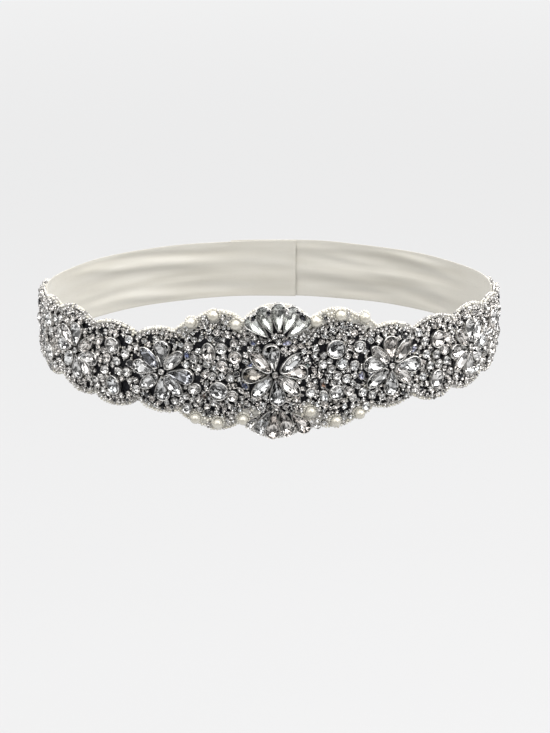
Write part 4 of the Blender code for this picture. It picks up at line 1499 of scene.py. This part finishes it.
def make_cluster_painted_shade():
    """The near-black disc under each small stone between the pearls: painted shade, as dark as the field's gaps.
    """
    heap = Heap()
    for radius in sorted(set(c[2] for c in clusters)):
        p = np.array([c[:2] for c in clusters if c[2] == radius])
        n, r = 10, radius - 0.05
        a = 2.0 * math.pi * np.arange(n) / n
        pts = np.concatenate([np.stack([r * np.cos(a), r * np.sin(a), np.full(n, z)], -1)
                              for z in (0.0, 0.26)])
        faces = [[i, (i + 1) % n, n + (i + 1) % n, n + i] for i in range(n)]
        faces += [list(range(n))[::-1], [n + i for i in range(n)]]
        heap.add_many((pts, faces, [0] * len(faces)),
                      stand(pts, p[:, 0], p[:, 1], NET_OUT + 0.06, 0.0), np.full(len(p), 0.5))
    ob = heap.build("cluster_painted_shade", [M_PAINTED_SHADE])
    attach(ob, "root")


def make_beads():
    for kind, material, slot in (("lined", M_LINED, "crystal"), ("ivory", M_IVORY, "pearl")):
        heap = Heap()
        for radius, points in sorted(beads[kind].items()):
            p = np.array(points)
            b = barrel(radius, radius * 1.6, 8)
            k = len(p)
            h = NET_OUT + 0.25 + radius + rng.random(k) * 0.7
            placed = stand(b[0], p[:, 0], p[:, 1], h, rng.random(k) * 6.283,
                           rng.normal(0.0, 0.4, (k, 2)))
            heap.add_many(b, placed, rng.random(k))
        p = np.array(beads["picot" if kind == "ivory" else "far picot"])
        b = barrel(0.62, 0.95, 8)
        k = len(p)
        placed = stand(b[0], p[:, 0], p[:, 1], 1.85 + rng.random(k) * 0.2,
                       rng.random(k) * 6.283, rng.normal(0.0, 0.4, (k, 2)))
        heap.add_many(b, placed, rng.random(k))
        if kind == "ivory":
            p = np.array(beads["halo"])
            k = len(p)
            placed = stand(barrel(0.62, 0.95, 8)[0], p[:, 0], p[:, 1], 3.25 + rng.random(k) * 0.2,
                           rng.random(k) * 6.283, rng.normal(0.0, 0.3, (k, 2)))
            heap.add_many(b, placed, rng.uniform(0.3, 1.0, k))
        ob = heap.build("seed_beads_" + kind, [material], smooth=True)
        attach(ob, "root")


make_small_stones()
make_cluster_painted_shade()
make_beads()


# ---------------------------------------------------------------------------
# Floor, light, camera
# ---------------------------------------------------------------------------
FLOOR_Z = -0.42
bpy.ops.mesh.primitive_plane_add(size=30.0, location=(0.0, 0.0, FLOOR_Z))
floor = bpy.context.object
floor.name = "floor"
mat, tree, p = new_material("floor_white")
p.inputs["Base Color"].default_value = (0.20, 0.20, 0.202, 1.0)
p.inputs["Roughness"].default_value = 0.95
p.inputs["Specular IOR Level"].default_value = 0.1
p.inputs["Emission Color"].default_value = (1.0, 1.0, 1.0, 1.0)
# Far from the light it glows a little more, so that it meets the background.
away = tree.nodes.new("ShaderNodeVectorMath")
away.operation = "LENGTH"
tree.links.new(tree.nodes.new("ShaderNodeTexCoord").outputs["Object"], away.inputs[0])
tree.links.new(span(tree, away.outputs["Value"], 0.53, 0.715, 0.6, 4.6),
               p.inputs["Emission Strength"])
floor.data.materials.append(mat)
floor.visible_glossy = False
floor.visible_transmission = False
floor.visible_diffuse = False


def area_light(name, azimuth, elevation, distance, width, height, power,
               colour=(1.0, 1.0, 1.0)):
    """Azimuth from the front, positive to the right of the camera."""
    az, el = math.radians(azimuth), math.radians(elevation)
    place = Vector((math.sin(az) * math.cos(el), -math.cos(az) * math.cos(el),
                    math.sin(el))) * distance
    data = bpy.data.lights.new(name, "AREA")
    data.shape = "RECTANGLE"
    data.size, data.size_y = width, height
    data.energy = power
    data.color = colour
    ob = bpy.data.objects.new(name, data)
    bpy.context.scene.collection.objects.link(ob)
    ob.location = place
    ob.rotation_mode = "QUATERNION"
    ob.rotation_quaternion = (-place).to_track_quat("-Z", "Y")
    return ob


area_light("front_right", 46.0, 34.0, 1.3, 0.78, 1.05, 4.9, (1.0, 0.99, 0.975))
area_light("front_left", -50.0, 32.0, 1.3, 0.64, 0.95, 2.9, (1.0, 0.99, 0.975))
area_light("top", 8.0, 78.0, 1.6, 1.4, 1.0, 9.5)
area_light("side_left", -116.0, 22.0, 1.4, 0.55, 0.7, 4.4)
area_light("side_right", 100.0, 34.0, 1.4, 0.75, 0.8, 8.5, (1.0, 0.99, 0.975))
area_light("rear", 166.0, 56.0, 1.5, 0.9, 0.6, 4.6)
area_light("sparkle_right", 24.0, 46.0, 1.4, 0.13, 0.13, 0.55)
area_light("sparkle_left", -20.0, 40.0, 1.4, 0.07, 0.16, 0.35)

world = bpy.data.worlds.new("studio")
bpy.context.scene.world = world
world.use_nodes = True
wt = world.node_tree
for n in list(wt.nodes):
    wt.nodes.remove(n)


def sky(stops, sides=0.0):
    """A plain gradient from nadir to zenith, paler by this much at the sides."""
    co = wt.nodes.new("ShaderNodeTexCoord")
    sep = wt.nodes.new("ShaderNodeSeparateXYZ")
    wt.links.new(co.outputs["Generated"], sep.inputs[0])
    fac = span(wt, sep.outputs["Z"], 0.0, 1.0, -1.0, 1.0)
    square = wt.nodes.new("ShaderNodeMath")
    square.operation = "MULTIPLY"
    wt.links.new(sep.outputs["X"], square.inputs[0])
    wt.links.new(sep.outputs["X"], square.inputs[1])
    more = span(wt, square.outputs[0], 0.0, sides)
    add = wt.nodes.new("ShaderNodeVectorMath")
    add.operation = "ADD"
    wt.links.new(ramp(wt, fac, stops), add.inputs[0])
    wt.links.new(more, add.inputs[1])
    back = wt.nodes.new("ShaderNodeBackground")
    wt.links.new(add.outputs[0], back.inputs["Color"])
    return back.outputs[0]


w_path = wt.nodes.new("ShaderNodeLightPath")
w_mix1 = wt.nodes.new("ShaderNodeMixShader")
w_mix2 = wt.nodes.new("ShaderNodeMixShader")
w_out = wt.nodes.new("ShaderNodeOutputWorld")
room_seen = sky(((0.0, (0.95,) * 3), (0.27, (0.62,) * 3), (0.37, (0.04,) * 3),
                 (0.60, (0.015,) * 3), (0.74, (0.06,) * 3), (0.81, (0.72,) * 3),
                 (1.0, (1.1,) * 3)), 0.16)
soft_light = sky(((0.0, (0.40,) * 3), (0.5, (0.54,) * 3), (0.75, (0.92,) * 3),
                  (1.0, (1.25,) * 3)))
pale = sky(((0.0, (0.90,) * 3), (0.52, (0.90,) * 3), (1.0, (0.94,) * 3)))
wt.links.new(w_path.outputs["Is Diffuse Ray"], w_mix1.inputs["Fac"])
wt.links.new(room_seen, w_mix1.inputs[1])
wt.links.new(soft_light, w_mix1.inputs[2])
wt.links.new(w_path.outputs["Is Camera Ray"], w_mix2.inputs["Fac"])
wt.links.new(w_mix1.outputs[0], w_mix2.inputs[1])
wt.links.new(pale, w_mix2.inputs[2])
wt.links.new(w_mix2.outputs[0], w_out.inputs["Surface"])

# The camera stands at the photograph's angle: azimuth and elevation seen from
# the middle of the ring, which it puts at this pixel of the 550 x 733 frame.
CAM_AZ, CAM_EL, CAM_ROLL = math.radians(-2.35), math.radians(18.6), math.radians(0.13)
CAM_DISTANCE, CAM_F_PX = 1.2, 2068.0
RING_X, RING_Y = 269.5, 316.4
cam_data = bpy.data.cameras.new("camera")
cam = bpy.data.objects.new("camera", cam_data)
bpy.context.scene.collection.objects.link(cam)
cam_data.sensor_fit = "AUTO"
cam_data.sensor_width = 36.0
cam_data.lens = CAM_F_PX * 36.0 / 733.0
cam_data.clip_start, cam_data.clip_end = 0.02, 100.0
back = Vector((math.sin(CAM_AZ) * math.cos(CAM_EL),
               -math.cos(CAM_AZ) * math.cos(CAM_EL), math.sin(CAM_EL)))
right = Vector((math.cos(CAM_AZ), math.sin(CAM_AZ), 0.0))
up = back.cross(right)
turned = Matrix((right, up, back)).transposed()
turned = turned @ Matrix.Rotation(CAM_ROLL, 3, "Z")
yaw = math.atan((275.0 - RING_X) / CAM_F_PX)
pitch = math.atan((366.5 - RING_Y) / CAM_F_PX)
turned = turned @ Matrix.Rotation(-yaw, 3, "Y") @ Matrix.Rotation(-pitch, 3, "X")
cam.rotation_mode = "QUATERNION"
cam.rotation_quaternion = turned.to_quaternion()
cam.location = back * CAM_DISTANCE
bpy.context.scene.camera = cam

scene = bpy.context.scene
scene.view_settings.view_transform = "Standard"
scene.view_settings.look = "None"
scene.view_settings.exposure = 0.0
